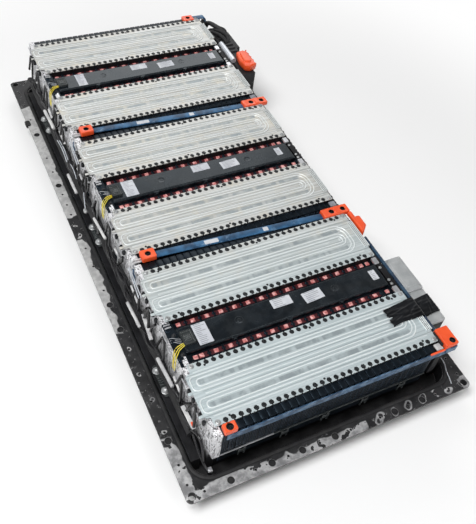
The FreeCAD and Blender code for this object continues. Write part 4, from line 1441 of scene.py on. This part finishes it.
def near_foot(y):
    """Whether a place along the pack is beside one of the foot bolts."""
    middles = [front + BLOCK_DEPTH / 2 for front in FRONTS]
    return any(abs(abs(y - middle_y) - 40) < 34 for middle_y in middles)


def bundle_cables(low, high, x, z):
    """Cables of three sizes that weave along the trunk and climb the end plates."""
    picker = random.Random(12)
    for name, count, radius, spread, lift in (("thick", 3, 6.0, 16, 6), ("middle", 4, 4.2, 22, 11),
                                              ("thin", 4, 2.4, 24, 22)):
        wires = []
        for strand in range(count):
            steps = 44
            path = []
            for step in range(steps + 1):
                y = low.y + 10 + (high.y - low.y - 40) * step / steps
                sway = spread * noise.noise(Vector((step * 0.42, strand * 5.0, radius)))
                rise = lift * noise.noise(Vector((step * 0.5, strand * 9.0, radius + 4)))
                leftmost = x + 9 if near_foot(y) else x - 20
                path.append((max(min(x + 4 + sway + strand * 2.5, x + 18), leftmost), y,
                             z + 7 + rise + strand * 2))
            wires.append(path)
        tubes("harness_wires_" + name, wires, radius, "wire_black", 8, 4)
    loops = []
    pale = []
    for block in BLOCKS:
        for start in (60, 168, 310, 440, 545):
            base = at(block, -44, start + picker.uniform(-10, 10), -130)
            reach = picker.uniform(34, 62)
            path = [base, base + Vector((6, 10, 34)), base + Vector((13, 24, 70 + picker.uniform(0, 26))),
                    base + Vector((12, reach * 0.7, 84 + picker.uniform(0, 24))),
                    base + Vector((9, reach, 52)), base + Vector((3, reach + 12, 6))]
            (loops if picker.random() < 0.72 else pale).append(path)
    for path in CABLE_ROUTES:
        loops.append([beside_first(*place) for place in path])
    tubes("harness_loops", loops, 4.8, "wire_black", 10, 5)
    tubes("harness_loops_pale", pale, 2.2, "screw_zinc", 8, 5)
    strips = bmesh.new()
    for block in BLOCKS:
        for y0, y1, x0, drop in ((141, 198, -34, 24), (263, 306, -33, 20), (310, 376, -31, 16),
                                 (20, 80, -33, 46),
                                 (430, 470, -33, 30), (560, 620, -30, 14)):
            place = at(block, x0, 0, -10 - drop)
            block_box(strips, (place.x, FRONTS[block] + y0, place.z - 2.5),
                      (place.x + 3.5, FRONTS[block] + y1, place.z + 2.5), 0.8)
    finish("edge_strips", strips, "strip_steel")


# Cables that were followed in the photo: x and y on the first block, height of the part
CABLE_ROUTES = (
    ((-36, 330, 150), (-38, 252, 110), (-37, 195, 140), (-38, 144, 183), (-36, 109, 240)),
    ((-44, 360, 116), (-40, 425, 120), (-38, 434, 190), (-36, 402, 258)),
    ((-44, 590, 110), (-39, 545, 125), (-38, 516, 172), (-36, 478, 248)),
    ((-48, 70, 150), (-40, 36, 172), (-38, 6, 160), (-42, -22, 110)),
    ((-52, 1000, 120), (-40, 1043, 128), (-38, 1035, 182), (-36, 1016, 232)),
    ((-60, 925, 152), (-50, 985, 172), (-42, 1040, 162), (-38, 1110, 140)),
    ((-44, 812, 120), (-42, 770, 150), (-38, 730, 200), (-36, 716, 244)),
    ((-38, 1205, 120), (-40, 1150, 150), (-38, 1110, 205), (-36, 1098, 246)),
    ((-36, 1480, 244), (-38, 1530, 185), (-42, 1600, 145), (-48, 1690, 150)),
    ((-42, 1740, 110), (-39, 1795, 150), (-37, 1828, 225)),
    ((-46, 118, 148), (-42, 60, 128), (-43, 8, 106), (-38, -36, 84), (-24, -60, 50), (-12, -70, 24)),
)
# Flat pale strips over the harness: both ends (x, y), height of the part and width
PALE_STRIPS = (
    (-43, 57, -46, 142, 177, 14), (-49, 403, -38, 510, 177, 13), (-39, 560, -34, 640, 176, 7),
    (-40, 178, -37, 238, 196, 7), (-36, 760, -35, 815, 190, 7), (-38, 1190, -35, 1262, 186, 8),
    (-39, 1425, -36, 1510, 178, 9), (-41, 1610, -36, 1700, 170, 9), (-38, 1850, -35, 1920, 180, 8),
)
# Thin silver cables, as the routes above
SILVER_ROUTES = (
    ((-70, 1048, 158), (-60, 1092, 167), (-47, 1145, 160)),
    ((-50, 1231, 158), (-47, 1280, 163), (-48, 1328, 158)),
    ((-57, 1338, 157), (-54, 1410, 162), (-56, 1478, 157)),
    ((-50, 1345, 160), (-47, 1410, 164), (-49, 1470, 160)),
    ((-46, 528, 246), (-40, 600, 249), (-36, 660, 248)), ((-40, 520, 254), (-36, 600, 257), (-33, 655, 256)),
    ((-46, 1215, 246), (-40, 1287, 249), (-36, 1347, 248)),
    ((-40, 1207, 254), (-36, 1287, 257), (-33, 1342, 256)),
    ((902, 14, 79), (900, -10, 79), (889, -36, 78), (885, -60, 74), (879, -84, 72)),
)


def pale_harness():
    """Pale strips, silver cables with a plug, a clip at the front foot and a red spot."""
    strips = bmesh.new()
    for seed, (x0, y0, x1, y1, z, width) in enumerate(PALE_STRIPS):
        bar_path(strips, [beside_first(x0, y0, z), beside_first(x1, y1, z)], width, 3.0, 10, seed)
    finish("harness_strips", strips, "white_sleeve", (), 50.0)
    cables = [[beside_first(*place) for place in route] for route in SILVER_ROUTES]
    tubes("silver_cables", cables, 2.0, "hose_foil", 8, 5)
    plug = bmesh.new()
    lathe(plug, ((3, 12), (6, 11), (7, 6), (7, -4), (5.5, -8), (2, -9)), beside_first(*SILVER_ROUTES[0][0]),
          14, "Y")
    finish("silver_cable_plug", plug, "screw_zinc", (), 50.0)
    clip = bmesh.new()
    block_box(clip, (LEFT_PLATE_LOW.x - 9, LEFT_PLATE_LOW.y - 10, 66),
              (LEFT_PLATE_LOW.x + 8, LEFT_PLATE_LOW.y + 6, 78), 2)
    lathe(clip, ((5.5, -1), (5.5, 2.5), (3.5, 4), (0.5, 4)), (LEFT_PLATE_LOW.x - 3, LEFT_PLATE_LOW.y - 3,
                                                              78), 12)
    finish("front_foot_clip", clip, "strip_steel")
    spot = bmesh.new()
    x, y, z = ROW_LEFT + PALE_STRIPS[0][0] + 1.4, FRONTS[0] + PALE_STRIPS[0][1] + 15, PALE_STRIPS[0][4]
    slab(spot, (x - 4, x + 4, y - 9, y + 9, 3, 3), z - 0.5, z + 0.7, 0.4)
    finish("harness_strip_spot", spot, "orange_plastic")


def left_tops():
    """Small parts on the left end plates between the cooling plates: tray, screws, tab, bars and wires."""
    trays = bmesh.new()
    screws = bmesh.new()
    tabs = bmesh.new()
    silver = bmesh.new()
    wires = []
    top = COMB_TOP
    for block in BLOCKS:
        x, front, z = at(block, 0, 0, 0)
        slab(trays, (x - 26, x + 6, front + 209, front + 377, 3, 3), top, top + 2.6, 1)
        for y in (232, 268, 300, 344):
            block_box(trays, (x - 22, front + y, top + 2), (x - 8, front + y + 9, top + 8), 1.5)
        for y in (250, 325):
            lathe(screws, ((7, 0), (7, 1.6), (5.6, 2.2), (5.2, 5), (3.6, 6), (2, 6), (1.6, 4.4), (0.4, 4.4)),
                  (x - 5, front + y, top + 2.4), 14)
        slab(tabs, (x - 16, x, front + 209, front + 241, 2, 3), top + 2, top + 6, 1)
        for y in (355, 366):
            block_box(silver, (x - 22, front + y, top + 2), (x - 1, front + y + 5, top + 6), 1)
        for strand in range(3):
            y = front + 288 + strand * 8
            wires.append([(x + 10, y, top + 5), (x - 4, y + 4, top + 8), (x - 14, y + 12, top + 6),
                          (x - 24, y + 14, top + 4)])
    finish("left_top_trays", trays, "black_plastic")
    finish("left_top_screws", screws, "stud_black")
    finish("left_top_tabs", tabs, "cast_aluminium")
    finish("left_top_bars", silver, "strip_steel")
    tubes("left_top_wires", wires, 0.8, "label_paper", 8, 5)


def left_channel():
    """Harness, sleeves, cables, nuts and fingers along the left end plates."""
    low, high = box_mm("harness_trunk")
    x = (low.x + high.x) / 2
    z = (low.z + high.z) / 2
    count = 40
    trunk = []
    for k in range(count + 1):
        y = low.y + (high.y - low.y) * k / count
        aside = 4.0 if near_foot(y) else 0.0
        trunk.append((x + aside + 1.2 * noise.noise(Vector((k * 0.7, 2, 0))), y,
                      z + 1.2 * noise.noise(Vector((k * 0.7, 9, 0)))))
    tubes("harness_trunk_tape", [trunk], 11.2, "harness_tape", 14, 3, ("harness_trunk",))
    bundle_cables(low, high, x, z)
    sleeves = bmesh.new()
    for x0, y0, x1, y1, radius in WHITE_SLEEVES:
        level = z + (30 if x0 > -60 else 12)
        sleeve_on(sleeves, (beside_first(x0, y0, level), beside_first(x1, y1, level + 2)), radius)
    finish("white_sleeves", sleeves, "white_sleeve", (), 50.0)
    plugs = bmesh.new()
    for block in BLOCKS:
        for y in (20, 46, 98, 130, 404, 430, 486, 516):
            lathe(plugs, ((6.4, -14), (6.8, -2), (5.6, 1.5), (3.4, 2), (2.8, -1), (0.4, -1)),
                  at(block, -34, y, -8), 12)
    finish("end_nuts", plugs, "stud_black")
    fingers = bmesh.new()
    for block in BLOCKS:
        for y in (35, 115, 423, 503):
            place = at(block, -38, y, -4)
            slab(fingers, (place.x - 6, place.x + 10, place.y - 5, place.y + 5, 3, 3),
                 place.z - 3, place.z, 1)
    finish("plate_fingers", fingers, "plate_aluminium")


def sense_wires():
    """Yellow wires from each cover's plug over the end plate to the harness."""
    low, high = box_mm("sense_leads")
    paths = []
    for block in BLOCKS:
        y = low.y + 5 + FRONTS[block] - FRONTS[0]
        x = ROW_LEFT
        for strand in range(3):
            fan = (strand - 1) * 1.3
            paths.append([(x + 13, y + fan * 3.4, high.z - 3), (x - 8, y - 8 + fan * 5.4, high.z - 1),
                          (x - 17, y - 14 + fan * 7.4, high.z - 2 - strand),
                          (x - 28, y - 24 + fan * 8.2, high.z - 8),
                          (x - 34 - strand % 2 * 2, y - 34 + fan * 7.6, high.z - 30),
                          (x - 36, y - 36 + fan * 5.0, high.z - 64)])
    tubes("sense_wires", paths, 1.5, "lead_yellow", 8, 6, ("sense_leads",))


def feet():
    """Angle brackets with domed bolts, and a ribbed pad between each pair."""
    low, high = box_mm("mount_feet")
    bm = bmesh.new()
    bolts = bmesh.new()
    pads = bmesh.new()
    sheet = 5.0
    top = low.z + sheet
    for front in FRONTS:
        middle_y = front + BLOCK_DEPTH / 2
        for wall, edge, side in ((LEFT_PLATE_LOW.x, low.x, -1), (RIGHT_PLATE_HIGH.x, high.x, 1)):
            x0, x1 = sorted((wall + side * (sheet + 0.5), edge - side * 0.5))
            slab(pads, (x0, x1, middle_y - 62, middle_y + 62, 7, 4), top, top + 2.4, 1)
            for y in (-56, -14, -5, 4, 13, 56):
                slab(pads, (x0 + 3, x1 - 3, middle_y + y - 1.5, middle_y + y + 1.5, 1.2, 2), top + 2, top + 5, 1)
        for y in (middle_y - 40, middle_y + 40):
            for wall, edge, side in ((LEFT_PLATE_LOW.x, low.x, -1), (RIGHT_PLATE_HIGH.x, high.x, 1)):
                x0, x1 = sorted((wall, edge))
                slab(bm, (x0, x1, y - 16, y + 16, 4, 3), low.z, top, 1)
                x0, x1 = sorted((wall, wall + side * sheet))
                slab(bm, (y - 16, y + 16, low.z + 1, high.z, 2, 2), x0, x1, 0.8, on_side)
                lathe(bolts, ((14.5, 0), (14.5, 3.6), (12.6, 4.4), (11.8, 8), (9.2, 12.5), (5.0, 15.4),
                              (0.5, 16.2)), ((wall + edge) / 2 + side * 9, y, top), 18)
    finish("mount_feet_angles", bm, "rail_steel", ("mount_feet",))
    finish("foot_bolts", bolts, "screw_zinc")
    finish("foot_pads", pads, "plug_plastic")


# Tray

FLANGE_INSET = 57.0


def tray():
    """Pan with a flat flange and all of its holes."""
    wall = 4.0
    bm = bmesh.new()
    rings = []
    for inset, radius, z in (
            (FLANGE_INSET - wall + 2, 58, 0.0), (FLANGE_INSET - wall, 62, 2.0),
            (FLANGE_INSET - wall, 64, 64.0),
            (0.6, 18, 64.0), (0.0, 18, 64.6), (0.0, 18, 69.2), (0.8, 18, 70.0),
            (FLANGE_INSET - 2, 62, 70.0), (FLANGE_INSET - 0.6, 61, 69.4), (FLANGE_INSET, 60, 68.0),
            (FLANGE_INSET, 60, 12.0), (FLANGE_INSET + 3, 58, 6.0), (FLANGE_INSET + 10, 52, 4.0)):
        outline = rectangle(TRAY_LOW.x + inset, TRAY_HIGH.x - inset, TRAY_LOW.y + inset, TRAY_HIGH.y - inset,
                            radius, 8)
        rings.append([Vector((point.x, point.y, z)) for point in outline])
    loft(bm, rings)
    body = add_object("tray_cut", mesh_of("tray_pan", bm))
    drills = bmesh.new()
    for x, y, radius in flange_holes():
        lathe(drills, ((radius, 60), (radius, 74)), (x, y, 0), 20)
    cutter = add_object("tray_drills", mesh_of("tray_drills", drills))
    modifier = body.modifiers.new("drill", "BOOLEAN")
    modifier.operation = "DIFFERENCE"
    modifier.solver = "EXACT"
    modifier.object = cutter
    drilled = settled_mesh(body)
    bpy.data.objects.remove(cutter)
    finish_mesh("tray_pan", drilled, "tray_paint", ("tray",), 40.0)


HOLE_INSET = 21.0
SMALL_HOLE = 4.3
LARGE_HOLE = 12.0
CORNER_HOLE = 12.5


def flange_holes():
    """Round holes of the flange: large and small ones in one line on all four sides."""
    left = TRAY_LOW.x + HOLE_INSET
    right = TRAY_HIGH.x - HOLE_INSET
    front = TRAY_LOW.y + HOLE_INSET
    rear = TRAY_HIGH.y - HOLE_INSET
    holes = [(x, y, CORNER_HOLE) for x in (left, right) for y in (front, rear)]
    for x in (21, 163, 273, 395, 630, 745):
        holes += [(ROW_LEFT + x, y, LARGE_HOLE) for y in (front, rear)]
    for x in (-67, 106, 221, 337, 455, 571, 686, 800, 859):
        holes += [(ROW_LEFT + x, y, SMALL_HOLE) for y in (front, rear)]
    for y in (96, 546, 660, 1307, 1642):
        holes += [(x, FRONTS[0] + y, LARGE_HOLE) for x in (left, right)]
    for y in (-58, 10, 127, 244, 356, 459, 730, 850, 945, 1015, 1133, 1190, 1252, 1393, 1483, 1750, 1860,
              1950):
        holes += [(x, FRONTS[0] + y, SMALL_HOLE) for x in (left, right)]
    return holes


def hole_shade_cups():
    """Dark cup below each hole of the flange, and a dark sleeve in each corner hole, which stays open: both
    stand in for the shade under the flange.
    """
    # Painted shade: dark cups close the holes from below, and dark sleeves line the corner holes.
    for name, radius in (("large_hole_cups", LARGE_HOLE), ("small_hole_cups", SMALL_HOLE)):
        cup = bmesh.new()
        lathe(cup, ((radius + 1.4, -1.0), (radius + 1.4, 1.6), (radius - 1.0, 1.6), (radius - 1.8, 0.2),
                    (0.4, 0.2)),
              (0, 0, 0), 14)
        places = [(x, y, FLANGE_TOP - 6.2) for x, y, size in flange_holes() if size == radius]
        repeat(name, cup, places, "black_rubber", turn=math.pi, seed=31)
    sleeve = bmesh.new()
    path = circle(0, 0, CORNER_HOLE + 0.4, 24)
    ridge(sleeve, path, ((-0.6, -28), (-0.6, -0.3), (0.6, -0.3), (0.6, -28)), 0, True)
    corners = [(x, y, FLANGE_TOP) for x, y, size in flange_holes() if size == CORNER_HOLE]
    repeat("corner_hole_sleeves", sleeve, corners, "black_rubber", seed=32)


def rim():
    """Rubber ring round the mouth of the pan."""
    half = 7.0
    inset = FLANGE_INSET - 2.0 - half
    bm = bmesh.new()
    path = rectangle(TRAY_LOW.x + inset, TRAY_HIGH.x - inset, TRAY_LOW.y + inset, TRAY_HIGH.y - inset, 67, 12)
    top = FLANGE_TOP
    ridge(bm, path, ((-7, -0.2), (-7, 3.5), (-5, 6.2), (-2, 7), (2, 7), (5, 6.2), (7, 3.5), (7, -0.2)), top,
          True)
    finish("cover_seal_ring", bm, "black_rubber", ("cover_seal",), 50.0)


def bumper():
    """Rubber bumper with rounded ends on the left edge."""
    low, high = box_mm("edge_bumper")
    bm = bmesh.new()
    slab(bm, (low.x, high.x, low.y, high.y, 7, 5), low.z, high.z, 3, both=True)
    finish("edge_bumper_rubber", bm, "black_rubber", ("edge_bumper",), 50.0)


# Right side


def control_box():
    """Housing with a dark body, a light grey stepped lid, bright strips along two of the lid's edges that stand
    in for their highlights, corner screws, and its black tape.
    """
    low, high = box_mm("junction_box")
    lid_low, lid_high = box_mm("junction_lid")
    bm = bmesh.new()
    slab(bm, (low.x, high.x, low.y, high.y, 7, 5), low.z, lid_low.z - 1.5, 2, both=True)
    finish("junction_box_body", bm, "contactor_plastic", ("junction_box",))
    step = low.y + 138
    bm = bmesh.new()
    slab(bm, (low.x, high.x, low.y, step + 4, 7, 5), lid_low.z - 0.5, lid_high.z - 8, 3)
    slab(bm, (low.x, high.x, step, high.y, 7, 5), lid_low.z - 0.5, lid_high.z, 3)
    slab(bm, (low.x + 12, high.x - 12, step + 20, high.y - 20, 5, 4), lid_high.z - 1, lid_high.z + 1.0, 0.8)
    finish("junction_lid_cast", bm, "box_paint", ("junction_lid",))
    screws = bmesh.new()
    for x in (low.x + 8, high.x - 8):
        for y, z in ((low.y + 9, lid_high.z - 8), (step - 8, lid_high.z - 8), (step + 12, lid_high.z),
                     (high.y - 9, lid_high.z)):
            lathe(screws, ((4, -0.5), (4, 1.6), (3, 2.4), (1.6, 2.4), (1.4, 1.2), (0.3, 1.2)), (x, y, z), 10)
    finish("junction_lid_screws", screws, "screw_zinc")
    # Painted highlight: bright strips along the lid's step and front edge.
    edges = bmesh.new()
    block_box(edges, (low.x + 3, step - 1.0, lid_high.z - 3.0), (high.x - 3, step + 2.5, lid_high.z + 0.4),
              0.8)
    block_box(edges, (low.x + 5, low.y + 0.4, lid_high.z - 11), (high.x - 5, low.y + 3.6, lid_high.z - 7.4),
              0.8)
    finish("junction_lid_edges", edges, "strip_steel")
    tape()


# Folds of the tape: a place on it (x, y on the first block), direction and height
TAPE_FOLDS = (
    (850, 118, 1.15, 2.6), (834, 150, 0.80, 2.2), (866, 142, 1.40, 2.4), (806, 120, 1.0, 1.8),
    (722, 112, 0.32, 2.2), (742, 138, 0.18, 2.0), (705, 128, -0.25, 1.6), (768, 118, 0.55, 1.8),
)


def tape():
    """Wrinkled black tape from the first plate over to the control box."""
    bm = bmesh.new()
    rows = []
    lid_top = box_mm("junction_lid")[1].z
    edge = RIGHT_PLATE_HIGH.x - ROW_LEFT
    left = 676.0
    right = 884.0
    cuts = 64
    across = 34
    for cut in range(cuts + 1):
        share = cut / cuts
        row = []
        for step in range(across + 1):
            side = step / across
            near = 88 + 10 * share + 3.0 * math.sin(share * 9)
            far = 158 + 20 * share
            ragged = 9 * noise.noise(Vector((side * 6.0, 3.3, 0))) * (1 - share) ** 3
            tail = -10 * (1 - share) ** 4 if 0.42 < side < 0.52 else 0.0
            x = left + (right - left) * share + ragged - tail * 1.5
            y = near + (far - near) * side
            wrinkle = 1.8 * noise.noise(Vector((share * 5.0, side * 9.0, 1.0)))
            wrinkle += 0.25 * math.sin(side * 26 + share * 8)
            for fold_x, fold_y, angle, height in TAPE_FOLDS:
                away = (x - fold_x) * math.sin(angle) - (y - fold_y) * math.cos(angle)
                along = (x - fold_x) * math.cos(angle) + (y - fold_y) * math.sin(angle)
                wrinkle += height * math.exp(-(away / 2.4) ** 2 - (along / 34) ** 2)
            raised = 4.2 + 2.6 * min(max((x - HEM_LEFT + 12) / 10, 0), 1)
            ground = raised - (PLATE_TOP - lid_top + 10) * min(max((x - edge) / 16, 0), 1)
            dip = -3.0 * math.exp(-((x - edge - 8) / 9) ** 2)
            lift = max(wrinkle, -0.8) + dip
            row.append(bm.verts.new(at(0, x, y, ground + lift)))
        rows.append(row)
    for low_row, high_row in zip(rows, rows[1:]):
        for step in range(across):
            bm.faces.new((low_row[step], high_row[step], high_row[step + 1], low_row[step + 1]))
    bm.normal_update()
    mesh = bpy.data.meshes.new("tape_patch")
    bmesh.ops.scale(bm, vec=(MM, MM, MM), verts=bm.verts)
    bm.to_mesh(mesh)
    bm.free()
    item = add_object("tape_patch_flat", mesh)
    modifier = item.modifiers.new("thickness", "SOLIDIFY")
    modifier.thickness = 0.0006
    modifier.offset = 0
    finish_mesh("tape_patch", settled_mesh(item), "tape_black", (), 180.0)


def right_tops():
    """Grey tabs and screws on the right end plates, beside each cover."""
    tabs = bmesh.new()
    screws = bmesh.new()
    for block in BLOCKS:
        corner = at(block, ROW_LENGTH, 0, 0)
        for y0, y1 in ((207, 238), (345, 374)):
            slab(tabs, (corner.x - 7, corner.x + 12, corner.y + y0, corner.y + y1, 3, 3), COMB_TOP - 3,
                 COMB_TOP + 5, 1.2)
        for y in (252, 270, 328):
            lathe(screws, ((5.5, -3), (5.5, 2), (4, 3.4), (2, 3.4), (1.6, 2), (0.4, 2)),
                  (corner.x + 4, corner.y + y, COMB_TOP), 12)
    finish("right_top_tabs", tabs, "strip_steel")
    finish("right_top_screws", screws, "screw_zinc")


def coolant_pipe():
    """Dark pipe beside the first block."""
    low, high = box_mm("coolant_pipe")
    x = (low.x + high.x) / 2
    z = (low.z + high.z) / 2
    tubes("coolant_pipe_hose", [[(x, low.y + (high.y - low.y) * k / 12, z) for k in range(13)]], 6.9,
          "pipe_navy", 18, 2, ("coolant_pipe",))


def contactor_box():
    """Contactor housing with ribs on its top and a ledge on its right."""
    low, high = box_mm("contactor_box")
    bm = bmesh.new()
    slab(bm, (low.x, high.x, low.y, high.y, 8, 5), low.z, high.z, 4, both=True)
    for k in range(6):
        y = low.y + 175 + k * 28
        slab(bm, (low.x + 8, high.x - 8, y, y + 12, 2, 2), high.z - 1, high.z + 6, 2)
    slab(bm, (high.x - 4, high.x + 18, low.y + 205, high.y - 36, 6, 4), high.z - 60, high.z - 1, 4, flat_z,
         True)
    finish("contactor_box_case", bm, "contactor_plastic", ("contactor_box",))


def service_plug():
    """Orange service plug: a rounded body, a raised handle and ribs on its right."""
    low, high = box_mm("service_plug")
    bm = bmesh.new()
    body = rounded([(low.x + 4, low.y + 12, 8), (low.x + 26, low.y, 10), (high.x - 3, low.y + 8, 12),
                    (high.x - 3, high.y - 16, 12), (high.x - 20, high.y, 10), (low.x + 10, high.y - 6, 9),
                    (low.x, low.y + 62, 10)], 5)
    slab(bm, body, low.z, high.z - 8, 6, both=True)
    slab(bm, rounded([(low.x + 10, low.y + 36, 10), (high.x - 22, low.y + 20, 10),
                      (high.x - 12, high.y - 30, 12),
                      (low.x + 18, high.y - 18, 10)], 5), high.z - 12, high.z, 4)
    for k in range(5):
        y = low.y + 14 + k * 26
        slab(bm, (y, y + 8, low.z + 6, high.z - 12, 3, 3), high.x - 4, high.x, 1.2, on_side)
    finish("service_plug_moulding", bm, "orange_plastic", ("service_plug",), 50.0)


def rear_hoses():
    """Foil covered hose with its folds, and the hoses behind it."""
    low, high = box_mm("shielded_hose")
    x = (low.x + high.x) / 2
    z = (low.z + high.z) / 2
    bm = bmesh.new()
    profile = []
    count = 20
    for k in range(count + 1):
        y = (high.y - low.y) * k / count
        profile += [(13.4, y - 1.6), (12.3, y + 1.6)]
    profile[0] = (12.6, 0)
    profile[-1] = (12.6, high.y - low.y)
    lathe(bm, profile, (x, low.y, z), 16, "Y")
    finish("shielded_hose_foil", bm, "hose_foil", ("shielded_hose",), 60.0)
    tubes("rear_hoses", REAR_HOSES, 9.0, "black_rubber", 12, 6)


# Hoses between the rear of the last block and the contactor housing
REAR_HOSES = (
    ((434, 1036, 216), (444, 1026, 250), (452, 996, 262), (464, 955, 266), (478, 912, 272), (474, 880, 256)),
    ((424, 1030, 224), (432, 1012, 262), (441, 980, 270), (452, 945, 272), (466, 900, 272), (462, 870, 256)),
    ((424, 1012, 120), (430, 996, 214), (438, 965, 250), (454, 915, 270), (470, 862, 274), (462, 832, 256)),
    ((410, 1000, 110), (415, 975, 206), (422, 940, 252), (436, 880, 274), (448, 836, 270), (450, 826, 256)),
    ((452, 1008, 90), (458, 985, 170), (466, 950, 230), (480, 925, 240)),
)


def rear_bar():
    """Sleeved bar that runs out of the rear cap, bends down and follows the right end plate."""
    low, high = box_mm("rear_busbar")
    thick = 5.0
    bend = 14.0
    section = rectangle(low.y, high.y, -thick / 2, thick / 2, 1.9, 3)
    level = high.z - thick / 2
    side = high.x - thick / 2
    path = [((low.x, level), 0.0), ((side - bend - 12, level), 0.0)]
    for step in range(9):
        angle = math.pi / 2 * step / 8
        path.append(((side - bend + bend * math.sin(angle), level - bend + bend * math.cos(angle)), angle))
    path += [((side, level - bend - 40), math.pi / 2), ((side, low.z), math.pi / 2)]
    bm = bmesh.new()
    loft(bm, [[Vector((x + point.y * math.sin(angle), point.x, z + point.y * math.cos(angle)))
               for point in section]
              for (x, z), angle in path])
    finish("rear_busbar_sleeve", bm, "bar_sleeve", ("rear_busbar",), 50.0)
    boot = bmesh.new()
    slab(boot, (high.x - 13, high.x + 8, low.y - 5, high.y + 5, 5, 4), low.z - 2, level - 22, 4, both=True)
    finish("rear_bar_boot", boot, "black_rubber", (), 50.0)


def plain_nodes():
    """Better finishes on the frame's own nodes that stay."""
    for name, item in frame["nodes"].items():
        if item.hide_render:
            continue
        slot = next(part["material_slot"] for part in frame["record"]["subparts"] if part["node"] == name)
        dress(item, slot)


# Stage


def seen_rays(tree):
    """One for the rays that show the background: camera, glossy and transmission rays."""
    rays = tree.nodes.new("ShaderNodeLightPath")
    mirrored = most(tree, rays.outputs["Is Glossy Ray"], rays.outputs["Is Transmission Ray"])
    return most(tree, rays.outputs["Is Camera Ray"], mirrored)


def sky():
    """Studio world: dim as a light, and seen as white walls under a darker ceiling."""
    world = bpy.data.worlds.new("studio")
    bpy.context.scene.world = world
    world.use_nodes = True
    tree = world.node_tree
    tree.nodes.clear()
    up = split_xyz(tree, tree.nodes.new("ShaderNodeTexCoord").outputs["Generated"])["Z"]
    ceiling = times(tree, ramp(tree, up, WALL_TOP, CEILING), 1.0 - CEILING_LIGHT)
    walls = math_node(tree, "SUBTRACT", 1.0, ceiling)
    parts = [add_node(tree, "ShaderNodeBackground", {"Color": WHITE, "Strength": strength}).outputs[0]
             for strength in (SKY_LIGHT, walls)]
    blend = add_node(tree, "ShaderNodeMixShader", {0: seen_rays(tree), 1: parts[0], 2: parts[1]})
    add_node(tree, "ShaderNodeOutputWorld", {0: blend.outputs[0]})


def floor_material():
    """Matte white floor that keeps the shadow near the pack and turns to plain white further out."""
    tree, shader = new_material("floor_white")
    shader.inputs["Base Color"].default_value = (0.92, 0.92, 0.92, 1.0)
    shader.inputs["Roughness"].default_value = 0.9
    shader.inputs["Specular IOR Level"].default_value = 0.0
    far = ramp(tree, vector_math(tree, "LENGTH", object_vector(tree))["Value"], *FLOOR_FADE)
    white = add_node(tree, "ShaderNodeEmission", {"Color": WHITE})
    blend = add_node(tree, "ShaderNodeMixShader", {
        0: times(tree, far, seen_rays(tree)), 1: shader.outputs["BSDF"], 2: white.outputs[0]})
    output = next(node for node in tree.nodes if node.type == "OUTPUT_MATERIAL")
    tree.links.new(blend.outputs[0], output.inputs["Surface"])
    return MATERIALS["floor_white"]


WHITE = (1.0, 1.0, 1.0, 1.0)
SKY_LIGHT = 0.22
# Sine of the height angle where the white walls end and where the ceiling begins
WALL_TOP = 0.40
CEILING = 0.80
CEILING_LIGHT = 0.18
FLOOR_FADE = (1.2, 2.4)


def stage():
    """Sky, plain lights and a pale floor."""
    sky()
    lights = (("key_soft", (-2.6, -1.0, 6.0), (0.0, 0.1, 0.2), 3.0, 385.0),
              ("rear_window", (2.1, 5.6, 4.2), (0.1, 0.7, 0.25), 3.2, 78.0),
              ("front_fill", (1.2, -4.0, 2.0), (0.0, -0.6, 0.1), 2.0, 24.0))
    for name, place, target, size, power in lights:
        lamp = bpy.data.lights.new(name, "AREA")
        lamp.shape = "SQUARE"
        lamp.size = size
        lamp.energy = power
        lamp_item = add_object(name, lamp)
        lamp_item.location = place
        lamp_item.rotation_euler = (Vector(target) - Vector(place)).to_track_quat("-Z", "Y").to_euler()
    floor_mesh = bpy.data.meshes.new("floor")
    reach = 30.0
    floor_mesh.from_pydata([(-reach, -reach, 0), (reach, -reach, 0), (reach, reach, 0), (-reach, reach, 0)],
                           [],
                           [(0, 1, 2, 3)])
    floor = add_object("floor", floor_mesh)
    floor.location.z = -0.0005
    floor.data.materials.append(floor_material())


CAMERA_PLACE = (-0.9101, -1.7244, 2.0908)
CAMERA_TURN = (39.87, -5.97, -25.38)
CAMERA_LENS = 51.82


def camera():
    """Camera at the photograph's place."""
    data = bpy.data.cameras.new("camera")
    data.sensor_width = 36.0
    data.sensor_fit = "HORIZONTAL"
    data.lens = CAMERA_LENS
    item = add_object("camera", data)
    item.location = CAMERA_PLACE
    item.rotation_euler = [math.radians(angle) for angle in CAMERA_TURN]
    bpy.context.scene.camera = item


def build():
    """All pieces, in the order they are stacked."""
    tray()
    hole_shade_cups()
    rim()
    bumper()
    for block in BLOCKS:
        cooling_plate(block, 0, "near_cooling_plate_%d" % (block + 1))
        cooling_plate(block, FAR_ROW, "far_cooling_plate_%d" % (block + 1))
        comb(block, True)
        comb(block, False)
        middle(block)
        cover(block)
    hem_gaskets()
    signal_plugs()
    clamp_lines()
    fasteners()
    front_clips()
    caps()
    busbars()
    end_plates()
    left_channel()
    pale_harness()
    left_tops()
    sense_wires()
    feet()
    control_box()
    right_tops()
    coolant_pipe()
    contactor_box()
    service_plug()
    rear_hoses()
    rear_bar()
    plain_nodes()
    stage()
    camera()
    bpy.context.scene.view_settings.view_transform = "Standard"


build()
